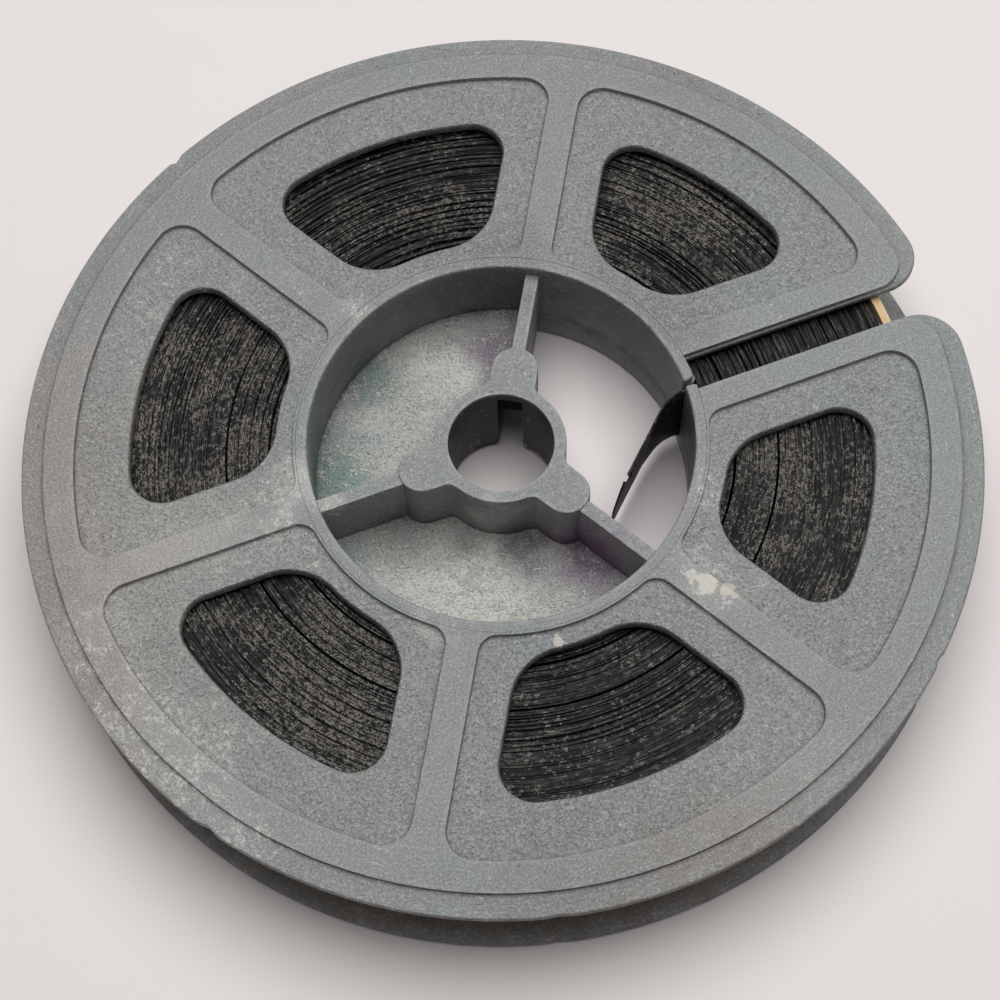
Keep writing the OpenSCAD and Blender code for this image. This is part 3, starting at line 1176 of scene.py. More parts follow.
    def marked(self, bench: ShaderBench, kit: EffectKit, place: Socket, masks: dict[str, Socket],
               colour: Value) -> Value:
        """Scuffed edges with painted highlights, grime with painted shade, scratches around the axis, specks,
        and near-black painted shade in the bore where the mask of grime and shade is deepest.

        Args:
            bench: The material's bench.
            kit: The shared effects.
            place: Position on the object.
            masks: Masks that the mesh carries.
            colour: The colour so far.

        Returns:
            The colour.
        """
        grime_and_shade = masks["grime_and_shade"]
        # Worn, scuffed edges, also painted highlights along them
        colour = bench.mix(bench.times(masks["wear_and_highlight"], self.scuff.mask(bench, place)), colour, self.worn_and_highlight)
        # Grime with painted shade in corners, creases, at the feet of walls and in the bore
        colour = bench.mix(bench.times(grime_and_shade, self.smear.mask(bench, place)), colour, self.dirt_and_shade)
        around = bench.group(kit.wound, Position=place, Along=self.scratch_along)["Place"]
        off = bench.minus(bench.noise(around, self.scratch_scale, 3.0, 0.6), kit.MIDDLE)
        scratch = bench.ramp(bench.math("ABSOLUTE", off), self.scratch_half, 0.0)
        colour = bench.mix(bench.times(scratch, self.scratched.mask(bench, place)), colour, self.pale)
        colour = bench.mix(self.specks.mask(bench, place), colour, self.dirt_and_shade)
        # Where the mask passes 1, in the bore and keyways, near-black painted shade goes on
        deep = bench.minus(grime_and_shade, 1.0, clamp=True)
        return bench.mix(bench.times(deep, self.bore_shade_share), colour, self.bore_shade)


@dataclass(frozen=True)
class WindingFinish:
    """Edges of wound film: streaks along the turns, with lint on them."""

    name: str
    dark: Colour
    light: Colour
    dust: Colour
    dust_share: float
    cover: float
    roughness: float
    specular: float
    patches: tuple[Patch, ...] = ()
    streak_scale: float = 5600.0
    lint_scale: float = 2700.0
    # How far streaks, the breaks in them, and lint are drawn out along a turn, less for longer
    streak_along: float = 0.05
    break_along: float = 0.3
    lint_along: float = 0.7
    # The parts of the noises that count for streaks, breaks and sheen, and what sheen adds to the roughness
    streak_range: Point = (0.4, 0.68)
    break_range: tuple[float, ...] = (0.36, 0.66, 0.15, 1.2)
    sheen_range: Point = (0.3, 0.7)
    sheen: Point = (-0.08, 0.1)

    def build(self, kit: EffectKit) -> bpy.types.Material:
        """Make the material.

        Args:
            kit: The shared effects.

        Returns:
            The material.
        """
        material, bench, shader = new_material(self.name)
        place = bench.add("ShaderNodeTexCoord").outputs["Object"]
        long, short, laid = (
            bench.group(kit.wound, Position=place, Along=along)["Place"]
            for along in (self.streak_along, self.break_along, self.lint_along)
        )
        turns = bench.noise(long, self.streak_scale, 3.0, 0.62)
        breaks = bench.noise(short, self.streak_scale, 3.0, 0.65)
        streak = bench.times(bench.ramp(turns, *self.streak_range), bench.ramp(breaks, *self.break_range))
        colour = bench.mix(streak, self.dark, self.light)
        work = Patchwork(self.cover)
        work.lay(bench, kit, place, self.patches)
        lint = bench.group(kit.lint, Position=laid, Scale=self.lint_scale, Cover=work.cover)["Mask"]
        colour = bench.mix(bench.times(lint, self.dust_share), colour, self.dust)
        bench.feed(shader.inputs["Base Color"], colour)
        least, most = (self.roughness + change for change in self.sheen)
        bench.feed(shader.inputs["Roughness"], bench.ramp(turns, *self.sheen_range, least, most))
        shader.inputs["Specular IOR Level"].default_value = self.specular
        return material


@dataclass
class Piece:
    """A sub-assembly of the reel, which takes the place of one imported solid."""

    node: str
    slot: Slot
    body: Optional[Body]

    def build(self, material: bpy.types.Material) -> bpy.types.Object:
        """Make the piece's object in its finish."""
        raise NotImplementedError

    def dress(self, piece: bpy.types.Object) -> None:
        """Hide the imported solid that the object takes the place of, and hang the object on its body where
        it has one.

        Args:
            piece: The object that build made.
        """
        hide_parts(self.node)
        if self.body is not None:
            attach(piece, self.body.value)
        LOG.info("%s: %d faces", piece.name, len(piece.data.polygons))


@dataclass
class Flange(Piece):
    """One flange disc: stepped rim, raised ribs, grained panels and rounded windows."""

    slot: Slot = Slot.PLASTIC
    body: Optional[Body] = Body.REEL
    slotted: bool = False
    upward: bool = False
    rim_w: float = 1.75
    band_w: float = 2.3
    panel_r: float = 15.8
    panel_round: Point = (1.5, 2.1)
    panel_inner_share: float = 0.2
    rib_half: float = 1.2
    slot_rib_half: float = 3.65
    window_in: float = 1.4
    window_out: float = 4.15
    window_side: float = 2.85
    window_round: Point = (4.6, 2.6)
    spigot_gap: float = 0.275
    seam_w: float = 0.02
    slot_half: float = 1.3
    slot_round: float = 3.2
    land_slot_half: float = 1.5
    land_slot_round: float = 2.4
    nicks: tuple[Dent, ...] = (Dent(-49.6, 0.4, 0.2), Dent(-104.0, 0.7, 0.1))
    worn_places: tuple[Dent, ...] = ()

    RIBS: ClassVar[int] = 6
    # Rings on the shelf between rim and raised face: share of the way across, and grime with painted shade
    SHELF: ClassVar[tuple[Point, ...]] = ((0.25, 0.0), (0.8, 0.1))
    # Moulded edges from ring to ring: distance from the outline, and height above the inner face; grime at
    # the feet of walls also paints shade in the crease, and wear on top edges also paints a highlight
    EDGE: ClassVar[tuple[Step, ...]] = (
        Step(0.15, 0.0, grime_and_shade=0.35),
        Step(0.05, 0.03, grime_and_shade=0.5),
        Step(0.0, 0.12, grime_and_shade=0.8),
        Step(0.0, 0.4, grime_and_shade=0.8),
        Step(0.03, 0.5, grime_and_shade=0.5),
        Step(0.08, 0.57, wear_and_highlight=0.5, grime_and_shade=0.25),
        Step(0.15, 0.6, wear_and_highlight=0.4),
    )
    LAND: ClassVar[tuple[Step, ...]] = (
        Step(-0.03, 0.75, grime_and_shade=0.7),
        Step(0.0, 0.8, grime_and_shade=0.5),
        Step(0.0, 0.96),
        Step(0.02, 1.03, wear_and_highlight=0.8),
        Step(0.08, 1.05, wear_and_highlight=0.6),
        Step(0.4, 1.05),
    )
    PANEL: ClassVar[tuple[Step, ...]] = (
        Step(0.4, 1.05),
        Step(0.07, 1.05, wear_and_highlight=0.4),
        Step(0.015, 1.03, wear_and_highlight=0.8),
        Step(0.0, 0.97, grime_and_shade=0.1),
        Step(-0.01, 0.76, grime_and_shade=0.22),
        Step(-0.03, 0.68, grime_and_shade=0.4),
        Step(-0.09, 0.65, grime_and_shade=0.25, grain=1.0),
        Step(-0.4, 0.65, grain=1.0),
    )
    WINDOW: ClassVar[tuple[Step, ...]] = (
        Step(0.55, 0.65, grain=1.0),
        Step(0.1, 0.65, grain=0.8),
        Step(0.03, 0.635, grain=0.3, wear_and_highlight=0.6),
        Step(-0.01, 0.59, wear_and_highlight=0.4, grime_and_shade=0.2),
        Step(-0.04, 0.47, grime_and_shade=0.6),
        Step(-0.07, 0.28, grime_and_shade=0.8),
        Step(-0.1, 0.05, grime_and_shade=0.9),
        Step(-0.06, 0.0, grime_and_shade=0.45),
    )

    def z(self, height: float) -> float:
        """Height in the part's frame of a height above the flange's inner face."""
        return REEL.height - REEL.flange_t + height if self.upward else REEL.flange_t - height

    def sectors(self) -> list[tuple[SectorOutline, SectorOutline]]:
        """Lay out the panels and windows between the ribs.

        Returns:
            The outlines of each panel and its window.
        """
        pairs = []
        turn = 360.0 / self.RIBS
        outer = REEL.flange_r - self.rim_w - self.band_w
        for i in range(self.RIBS):
            near = self.slot_rib_half if self.slotted and i == 0 else self.rib_half
            far = self.slot_rib_half if self.slotted and i == self.RIBS - 1 else self.rib_half
            middle = turn * i + turn / 2
            panel = SectorOutline(
                self.panel_r, outer, near, far, *self.panel_round, middle, self.panel_inner_share)
            window = SectorOutline(
                self.panel_r + self.window_in, outer - self.window_out,
                near + self.window_side, far + self.window_side, *self.window_round, middle)
            pairs.append((panel, window))
        return pairs

    def discs(self) -> tuple[Disc, Disc]:
        """Lay out the disc.

        Returns:
            The outlines of the whole disc and of its raised face.
        """
        hole = REEL.core_r - self.spigot_gap
        edge_slot = (self.slot_half, self.slot_round) if self.slotted else (None, 0.0)
        land_slot = (self.land_slot_half, self.land_slot_round) if self.slotted else (None, 0.0)
        edge = Disc(REEL.flange_r, hole, *edge_slot, self.nicks)
        land = Disc(REEL.flange_r - self.rim_w, hole + self.seam_w, *land_slot, self.worn_places)
        return edge, land

    def build(self, material: bpy.types.Material) -> bpy.types.Object:
        """Make the flange's object.

        Args:
            material: The plastic.

        Returns:
            The object.
        """
        sketch = MeshSketch()
        edge, land = self.discs()
        edge_rings = [self.disc_rings(sketch, edge, step) for step in self.EDGE]
        land_rings = [self.disc_rings(sketch, land, step) for step in self.LAND]
        for k, (rim, foot) in enumerate(zip(edge_rings[-1], land_rings[0])):
            shelf = [sketch.halfway(rim, foot, share, {"grime_and_shade": grime_and_shade}) for share, grime_and_shade in self.SHELF]
            sketch.stack([rings[k] for rings in edge_rings] + shelf + [rings[k] for rings in land_rings])
        faces, floors = list(land_rings[-1]), list(edge_rings[0])
        for panel, window in self.sectors():
            panel_rings = self.sector_rings(sketch, panel, self.PANEL)
            window_rings = self.sector_rings(sketch, window, self.WINDOW)
            sketch.stack(panel_rings)
            sketch.stack(window_rings)
            sketch.fill([panel_rings[-1], window_rings[0]])
            faces.append(panel_rings[0])
            floors.append(window_rings[-1])
        sketch.fill(faces)
        sketch.fill(floors)
        return sketch.build(self.node + "_moulding", material)

    def disc_rings(self, sketch: MeshSketch, disc: Disc, step: Step) -> list[Ring]:
        """Rings of one step around a disc's contours."""
        z = self.z(step.height)
        return [sketch.ring(outline, z, step.masks()) for outline in disc.contours(step.offset)]

    def sector_rings(self, sketch: MeshSketch, sector: SectorOutline, steps: Sequence[Step]) -> list[Ring]:
        """Rings of each step around a panel or window."""
        return [sketch.ring(sector.grown(s.offset), self.z(s.height), s.masks()) for s in steps]


@dataclass
class Core(Piece):
    """Core moulding: cut ring, hub with lobes and keyways, spokes and rough floors."""

    node: str = "core"
    slot: Slot = Slot.PLASTIC
    body: Optional[Body] = Body.REEL
    wall: float = 1.125
    shoulder: float = 0.26
    ring_drop: float = 0.015
    ring_share: float = 0.1
    spokes: tuple[float, ...] = (60.0, 180.0, 300.0)
    spoke_half: float = 0.55
    spoke_drop: float = 1.1
    spoke_lap: float = 0.55
    floor_top: float = 3.25
    floor_t: float = 1.0
    floor_lap: float = 0.4
    floor_rough: float = 0.045
    under_rough: float = 0.03
    # Height and reach of the dirt heaped in the corner under the ring's wall, which is also darkened there as
    # painted shade
    heap: float = 0.12
    heap_reach: float = 0.5
    hub_r: float = 5.0
    hub_drop: float = 0.9
    hub_lap: float = 0.35
    bore_r: float = 4.05
    lobe_half: float = 1.8
    lobe_reach: float = 8.2
    lobe_root: float = 0.5
    # Steps of the hollow corner beside a lobe: along the lobe from the hub's wall, and out from its side
    lobe_fillet: tuple[Point, Point] = ((0.12, 0.16), (0.35, 0.03))
    key_half: float = 1.0
    key_reach: float = 6.9
    key_lip: float = 1.0
    key_lap: float = 0.4
    # Angles of the cut's two ends, at the outside and the inside of the wall, and how far they bulge
    cut_north: Point = (-0.7, -1.75)
    cut_south: Point = (-4.1, -3.95)
    bulge_north: float = 0.2
    bulge_south: float = 0.1

    RING_STEPS: ClassVar[int] = 300
    CUT_STEPS: ClassVar[int] = 10
    FLOOR_COLUMNS: ClassVar[int] = 300
    FLOOR_ROWS: ClassVar[int] = 56
    LOBE_STEPS: ClassVar[int] = 20
    # Rate per millimetre and layer of the noises that make the floor rough
    COARSE: ClassVar[Point] = (1.9, 0.3)
    FINE: ClassVar[Point] = (4.3, 1.7)
    FINE_SHARE: ClassVar[float] = 0.6
    UNDER: ClassVar[Point] = (2.1, 4.1)
    # Mask of grime and shade in the keyways and lower bore, deep enough to add the near-black painted shade
    KEY_SHADE: ClassVar[float] = 1.8
    KEY_STEPS: ClassVar[int] = 8
    BORE_STEPS: ClassVar[int] = 24

    def build(self, material: bpy.types.Material) -> bpy.types.Object:
        """Make the core's object from its overlapping closed shells.

        Args:
            material: The plastic.

        Returns:
            The object.
        """
        sketch = MeshSketch()
        self.add_foot(sketch)
        self.add_ring(sketch)
        self.add_floor(sketch)
        for angle in self.spokes:
            self.add_spoke(sketch, angle)
        self.add_hub(sketch)
        return sketch.build("core_moulding", material)

    def ring_outline(self, outer: float, inset: float) -> Outline:
        """Outline of the cut ring.

        Args:
            outer: Its outer radius.
            inset: How far the outline is moved into the material; the outside moves by a share of it.

        Returns:
            The points, counter-clockwise.
        """
        r_out = outer - self.ring_share * inset
        r_in = REEL.core_r - self.wall + inset
        lean = math.degrees(inset / REEL.core_r)
        north_out, north_in = (angle + lean for angle in self.cut_north)
        south_out, south_in = (angle - lean for angle in self.cut_south)
        points = arc(AXIS, r_out, north_out, 360.0 + south_out, self.RING_STEPS)
        points += self.bowed(polar(r_out, south_out), polar(r_in, south_in), self.bulge_south)
        points += arc(AXIS, r_in, 360.0 + south_in, north_in, self.RING_STEPS)
        points += self.bowed(polar(r_in, north_in), polar(r_out, north_out), self.bulge_north)
        return points

    def bowed(self, first: Point, last: Point, rise: float) -> Outline:
        """Points along a curve that bulges to the right of the way between two points.

        Args:
            first: Where the way starts.
            last: Where it ends.
            rise: How far the curve bulges.

        Returns:
            The points, without either end.
        """
        dx, dy = last[0] - first[0], last[1] - first[1]
        length = math.hypot(dx, dy)
        points = []
        for i in range(1, self.CUT_STEPS):
            share = i / self.CUT_STEPS
            out = rise * (1 - (2 * share - 1) ** 4) / length
            points.append((first[0] + dx * share + dy * out, first[1] + dy * share - dx * out))
        return points

    def add_ring(self, sketch: MeshSketch) -> None:
        """Ring above the lower flange, cut through for the film's tail.

        Args:
            sketch: The core's mesh.
        """
        seat = REEL.height - REEL.flange_t
        top = REEL.height - self.ring_drop
        spigot = REEL.core_r - self.shoulder
        wall_steps = (
            Step(0.0, REEL.flange_t - 0.05),
            # Grime on the well's inner wall, darkest at its foot, also paints shade there
            Step(0.0, self.floor_top, grime_and_shade=1.0),
            Step(0.0, self.floor_top + 0.7, grime_and_shade=0.45),
            Step(0.0, seat - 0.02, grime_and_shade=0.35),
        )
        spigot_steps = (
            Step(0.0, seat - 0.01, grime_and_shade=0.35),
            Step(0.0, top - 0.22),
            Step(0.03, top - 0.1, wear_and_highlight=0.5),
            Step(0.1, top - 0.03, wear_and_highlight=0.9),
            Step(0.22, top, wear_and_highlight=0.6),
            Step(0.4, top),
        )
        rings = []
        for outer, steps in ((REEL.core_r, wall_steps), (spigot, spigot_steps)):
            rings += [sketch.ring(self.ring_outline(outer, s.offset), s.height, s.masks()) for s in steps]
        sketch.cap(rings)

    def add_foot(self, sketch: MeshSketch) -> None:
        """Uncut ring below, which the lower flange is pressed on.

        Args:
            sketch: The core's mesh.
        """
        disc = Disc(REEL.core_r - self.shoulder, REEL.core_r - self.wall, hole_share=1.0)
        low = REEL.height - REEL.core_top
        steps = (
            Step(0.1, low, wear_and_highlight=0.6),
            Step(0.03, low + 0.03, wear_and_highlight=0.8),
            Step(0.0, low + 0.1),
            Step(0.0, REEL.flange_t),
        )
        rings = []
        for step in steps:
            contours = disc.contours(step.offset)
            rings.append([sketch.ring(outline, step.height, step.masks()) for outline in contours])
        for side in zip(*rings):
            sketch.stack(side)
        sketch.fill(rings[0])
        sketch.fill(rings[-1])

    def add_floor(self, sketch: MeshSketch) -> None:
        """Rough floor that closes two of the three openings.

        Args:
            sketch: The core's mesh.
        """
        r_out = REEL.core_r - self.floor_lap
        start, end = self.spokes[0], self.spokes[-1]
        top: list[Ring] = []
        bottom: list[Ring] = []
        for i in range(self.FLOOR_COLUMNS + 1):
            angle = start + (end - start) * i / self.FLOOR_COLUMNS
            r_in = self.floor_start(angle)
            radii = [r_in + (r_out - r_in) * k / self.FLOOR_ROWS for k in range(self.FLOOR_ROWS + 1)]
            top.append([self.floor_point(sketch, radius, angle) for radius in radii])
            bottom.append([self.under_point(sketch, radius, angle) for radius in radii])
        for grid in (top, bottom):
            for first, second in zip(grid, grid[1:]):
                for k in range(self.FLOOR_ROWS):
                    sketch.face((first[k], first[k + 1], second[k + 1], second[k]), True)
        sketch.skin(self.border(top), self.border(bottom), False)

    @staticmethod
    def border(grid: list[Ring]) -> Ring:
        """Points around a grid, in order."""
        outer, inner = [column[-1] for column in grid[1:]], [column[0] for column in grid[-2:0:-1]]
        return grid[0] + outer + grid[-1][-2::-1] + inner

    @staticmethod
    def bumps(x: float, y: float, rate: float, layer: float) -> float:
        """Height of a rough surface, from about -1 to 1."""
        return noise.noise(Vector((x * rate, y * rate, layer)))

    def floor_point(self, sketch: MeshSketch, radius: float, angle: float) -> int:
        """Add a point of the floor's upper side, with dirt and painted shade in the corner under the wall.

        Args:
            sketch: The core's mesh.
            radius: Radius of the point.
            angle: Angle of the point.

        Returns:
            The point's number.
        """
        x, y = polar(radius, angle)
        rough = self.bumps(x, y, *self.COARSE) + self.FINE_SHARE * self.bumps(x, y, *self.FINE)
        corner = math.exp(-max(0.0, REEL.core_r - self.wall - radius) / self.heap_reach)
        masks = {"grain": 1.0, "grime_and_shade": min(1.0, 0.7 * corner), "dusty": 1.0 - 0.6 * corner}
        return sketch.add((x, y, self.floor_top + self.floor_rough * rough + self.heap * corner), masks)

    def under_point(self, sketch: MeshSketch, radius: float, angle: float) -> int:
        """Add a point of the floor's lower side.

        Args:
            sketch: The core's mesh.
            radius: Radius of the point.
            angle: Angle of the point.

        Returns:
            The point's number.
        """
        x, y = polar(radius, angle)
        z = self.floor_top - self.floor_t + self.under_rough * self.bumps(x, y, *self.UNDER)
        return sketch.add((x, y, z), {"grain": 1.0, "grime_and_shade": 0.2, "bare": 1.0})

    def floor_start(self, angle: float) -> float:
        """Radius inside the hub's wall where the floor starts, clear of the keyways.

        Args:
            angle: Where around the hub.

        Returns:
            The radius.
        """
        off = min(abs((angle - spoke + 180) % 360 - 180) for spoke in self.spokes)
        beside = (self.key_half + self.lobe_half) / 2
        along = beside / max(math.sin(math.radians(off)), 0.01)
        return min(max(along, self.bore_r + self.hub_lap), self.key_reach + self.key_lap)

    def add_spoke(self, sketch: MeshSketch, angle: float) -> None:
        """One spoke from the hub to the ring.

        Args:
            sketch: The core's mesh.
            angle: The spoke's direction.
        """
        top = REEL.height - self.spoke_drop
        r_in, r_out = self.key_reach + self.key_lap, REEL.core_r - self.spoke_lap
        steps = (
            Step(0.0, self.floor_top - self.floor_t - 0.02),
            # Grime at the spoke's foot also paints shade in the corner
            Step(0.0, self.floor_top, grime_and_shade=0.5),
            Step(0.0, self.floor_top + 0.8, grime_and_shade=0.1),
            Step(0.0, top - 0.12),
            Step(0.04, top - 0.04, wear_and_highlight=0.7),
            Step(0.14, top, wear_and_highlight=0.6),
            Step(0.3, top),
        )
        rings = []
        for step in steps:
            half = self.spoke_half - step.offset
            near, far = r_in + step.offset, r_out - step.offset
            corners = turned([(near, -half), (far, -half), (far, half), (near, half)], angle)
            rings.append(sketch.ring(corners, step.height, step.masks()))
        sketch.cap(rings)

    def lobed(self, inset: float) -> Outline:
        """Outline of the hub with its lobes.

        Args:
            inset: How far the outline is moved into the material.

        Returns:
            The points, counter-clockwise.
        """
        radius, half = self.hub_r - inset, self.lobe_half - inset
        root = math.degrees(math.asin((half + self.lobe_root) / radius))
        neck = math.sqrt(radius ** 2 - half ** 2)
        end = self.lobe_reach - self.lobe_half
        points: Outline = []
        for angle in self.spokes:
            lobe = [polar(radius, -root)]
            lobe += [(neck + along, -half - out) for along, out in self.lobe_fillet]
            lobe += arc((end, 0.0), half, -90.0, 90.0, self.LOBE_STEPS)
            lobe += [(neck + along, half + out) for along, out in reversed(self.lobe_fillet)]
            lobe += arc(AXIS, radius, root, 360.0 / len(self.spokes) - root, self.BORE_STEPS)[:-1]
            points += turned(lobe, angle)
        return points

    def add_hub(self, sketch: MeshSketch) -> None:
        """Hub tube: lobed outside, round lip, and keyways under the lip.

        Args:
            sketch: The core's mesh.
        """
        low, top = self.hub_drop, REEL.height - self.hub_drop
        lip = top - self.key_lip
        outside = (
            Step(0.12, low),
            Step(0.03, low + 0.03),
            Step(0.0, low + 0.12),
            # Grime at the hub's foot also paints shade in the corner
            Step(0.0, self.floor_top, grime_and_shade=0.9),
            Step(0.0, self.floor_top + 0.8, grime_and_shade=0.2),
            Step(0.0, top - 0.14),
            Step(0.04, top - 0.04, wear_and_highlight=0.8),
            Step(0.14, top, wear_and_highlight=0.8),
            Step(0.34, top),
        )
        inside = (
            Step(0.3, top),
            Step(0.12, top, wear_and_highlight=0.8),
            Step(0.03, top - 0.03, wear_and_highlight=0.8),
            Step(0.0, top - 0.12),
            # Down the bore the mask passes 1: grime with near-black painted shade
            Step(0.0, top - 0.5, grime_and_shade=1.4),
            Step(0.0, lip, grime_and_shade=self.KEY_SHADE),
        )
        hub = [sketch.ring(self.lobed(s.offset), s.height, s.masks()) for s in outside]
        bore = [sketch.ring(self.bore_outline(self.bore_r + s.offset), s.height, s.masks()) for s in inside]
        sketch.stack(hub)
        sketch.stack(bore)
        sketch.fill([hub[-1], bore[0]])
        upper, lower = self.keyed_rings(sketch, bore[-1], lip, low)
        sketch.skin(upper, lower, False)
        sketch.fill([hub[0], lower])

    def bore_outline(self, radius: float) -> Outline:
        """Circle with points at the keyways' sides.

        Args:
            radius: Its radius.

        Returns:
            The points, counter-clockwise.
        """
        key = math.degrees(math.asin(self.key_half / self.bore_r))
        points: Outline = []
        for angle in self.spokes:
            points += turned(arc(AXIS, radius, -key, key, self.KEY_STEPS)[:-1], angle)
            rest = arc(AXIS, radius, key, 360.0 / len(self.spokes) - key, self.BORE_STEPS)
            points += turned(rest[:-1], angle)
        return points

    def keyed_rings(self, sketch: MeshSketch, lip_ring: Ring, lip: float, low: float) -> tuple[Ring, Ring]:
        """Rings of the bore with its keyways, under the lip and at the hub's lower end.

        Args:
            sketch: The core's mesh.
            lip_ring: The round bore's ring at the lip's lower side.
            lip: Height of the lip's lower side.
            low: Height of the hub's lower end.

        Returns:
            The ring under the lip, which shares the round ring's points, and the lower ring.
        """
        upper: Ring = []
        per_key = self.KEY_STEPS + self.BORE_STEPS
        shade = {"grime_and_shade": self.KEY_SHADE}
        for i, angle in enumerate(self.spokes):
            part = lip_ring[i * per_key:(i + 1) * per_key]
            corners = turned([(self.key_reach, -self.key_half), (self.key_reach, self.key_half)], angle)
            first, second = sketch.ring(corners, lip, shade)
            sketch.face((part[0], first, second, *part[self.KEY_STEPS:0:-1]))
            upper += [part[0], first, second, *part[self.KEY_STEPS:]]
        lower = [sketch.add((*sketch.points[i][:2], low), shade) for i in upper]
        return upper, lower


@dataclass
class Winding(Piece):
    """A band of wound film: one strip that spirals outwards, its edges standing unevenly."""

    on: str
    pitch: float = 0.155
    ragged: float = 0.55
    gap_depth: float = 0.3
    gap_share: float = 0.1
    # Radius and angle of each place where turns have come apart, and how wide they stand there
    loose: tuple[Point, ...] = ()
    loose_reach: float = 0.12
    loose_share: float = 0.55
    gap_limits: Point = (0.05, 0.8)
    clear: float = 0.03
    phase: float = 0.0
    # Angle at which the strip starts and ends
    seam: float = 120.0

    STEPS: ClassVar[int] = 200
    # Rate in turns, size and start of the waves that make a strip's edge uneven
    WAVES: ClassVar[tuple[Place, ...]] = (
        (0.087, 0.3, 0.4),
        (0.231, 0.32, 2.1),
        (0.41, 0.26, 4.4),
        (0.613, 0.16, 0.3),
        (1.57, 0.2, 1.2),
        (4.37, 0.12, 3.3),
        (11.3, 0.1, 0.9),
    )
    LOWER_SHIFT: ClassVar[float] = 2.6

    def wave(self, turns: np.ndarray, shift: float) -> np.ndarray:
        """Uneven height along the strip.

        Args:
            turns: Length along the strip, in turns.
            shift: Where the waves start.

        Returns:
            The height, from 0 to 1.
        """
        total = np.zeros_like(turns)
        for rate, size, start in self.WAVES:
            total += size * np.sin(2 * math.pi * rate * turns + start + shift + self.phase)
        return np.clip(0.5 + 0.5 * total, 0.0, 1.0)

    def gaps(self, radius: np.ndarray, angle: np.ndarray) -> np.ndarray:
        """Share of the pitch that is open between turns.

        Args:
            radius: Radius along the strip.
            angle: Angle along the strip, in radians.

        Returns:
            The share along the strip.
        """
        gap = np.full_like(radius, self.gap_share)
        for place, side in self.loose:
            near = np.exp(-((radius - place) / self.loose_reach) ** 2)
            gap = gap + self.loose_share * near * np.clip(np.cos(angle - math.radians(side)), 0.0, 1.0)
        return np.clip(gap, *self.gap_limits)

    def build(self, material: bpy.types.Material) -> bpy.types.Object:
        """Make the band: its two uneven faces and the walls between them.

        Args:
            material: The film's or leader's finish.

        Returns:
            The object.
        """
        solid_low, solid_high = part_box(self.node)
        low, high = solid_low.z / MM, solid_high.z / MM
        r_in, r_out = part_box(self.on)[1].y / MM + self.clear, solid_high.y / MM
        turns = int((r_out - r_in) / self.pitch) - 1
        pitch = (r_out - r_in) / (turns + 1)
        count = turns * self.STEPS
        along = np.arange(count + self.STEPS + 1) / self.STEPS
        angle = 2 * math.pi * along + math.radians(self.seam)
        radius = r_in + pitch * along
        gap = self.gaps(radius, angle) * pitch / 2
        sheets = []
        for face, away, shift in ((high, -1.0, 0.0), (low, 1.0, self.LOWER_SHIFT)):
            edge = face + away * self.ragged * self.wave(along, shift)
            sheets.append((
                self.column(radius, angle, edge + away * self.gap_depth),
                self.column(radius + gap, angle, edge)[:count + 1],
                self.column(radius + pitch - gap, angle, edge)[:count + 1],
            ))
        points, faces = self.weave(sheets, count)
        sketch = MeshSketch()
        sketch.points = [tuple(p) for p in points.tolist()]
        sketch.faces = faces
        sketch.smooth = [False] * len(faces)
        sketch.masks = {name: [0.0] * len(sketch.points) for name in MASKS}
        return sketch.build(self.node + "_strip", material)

    @staticmethod
    def column(radius: np.ndarray, angle: np.ndarray, z: np.ndarray) -> np.ndarray:
        """Points of one line along the strip."""
        return np.stack((radius * np.cos(angle), radius * np.sin(angle), z), axis=1)

    def weave(self, sheets: list[tuple[np.ndarray, ...]],
              count: int) -> tuple[np.ndarray, list[tuple[int, ...]]]:
        """Join the lines of both faces into one closed mesh.

        Args:
            sheets: For each face, the line in the gap before a turn and the turn's two edges.
            count: Number of steps along the strip.

        Returns:
            The points and the faces.
        """
        steps = self.STEPS
        lines = [line for sheet in sheets for line in sheet]
        starts = np.cumsum([0] + [len(line) for line in lines]).tolist()
        bases = (starts[0:3], starts[3:6])
        faces: list[tuple[int, ...]] = []
        loops = []
        for gap, near, far in bases:
            for j in range(count):
                faces.append((gap + j, gap + j + 1, near + j + 1, near + j))
                faces.append((near + j, near + j + 1, far + j + 1, far + j))
                faces.append((far + j, far + j + 1, gap + j + 1 + steps, gap + j + steps))
            inner = [gap + j for j in range(steps + 1)] + [far, near]
            outer = [gap + j for j in range(count, count + steps + 1)] + [far + count, near + count]
            loops.append((inner, outer))
        for first, second in zip(*loops):
            for i in range(len(first)):
                n = (i + 1) % len(first)
                faces.append((first[i], first[n], second[n], second[i]))
        return np.concatenate(lines), faces


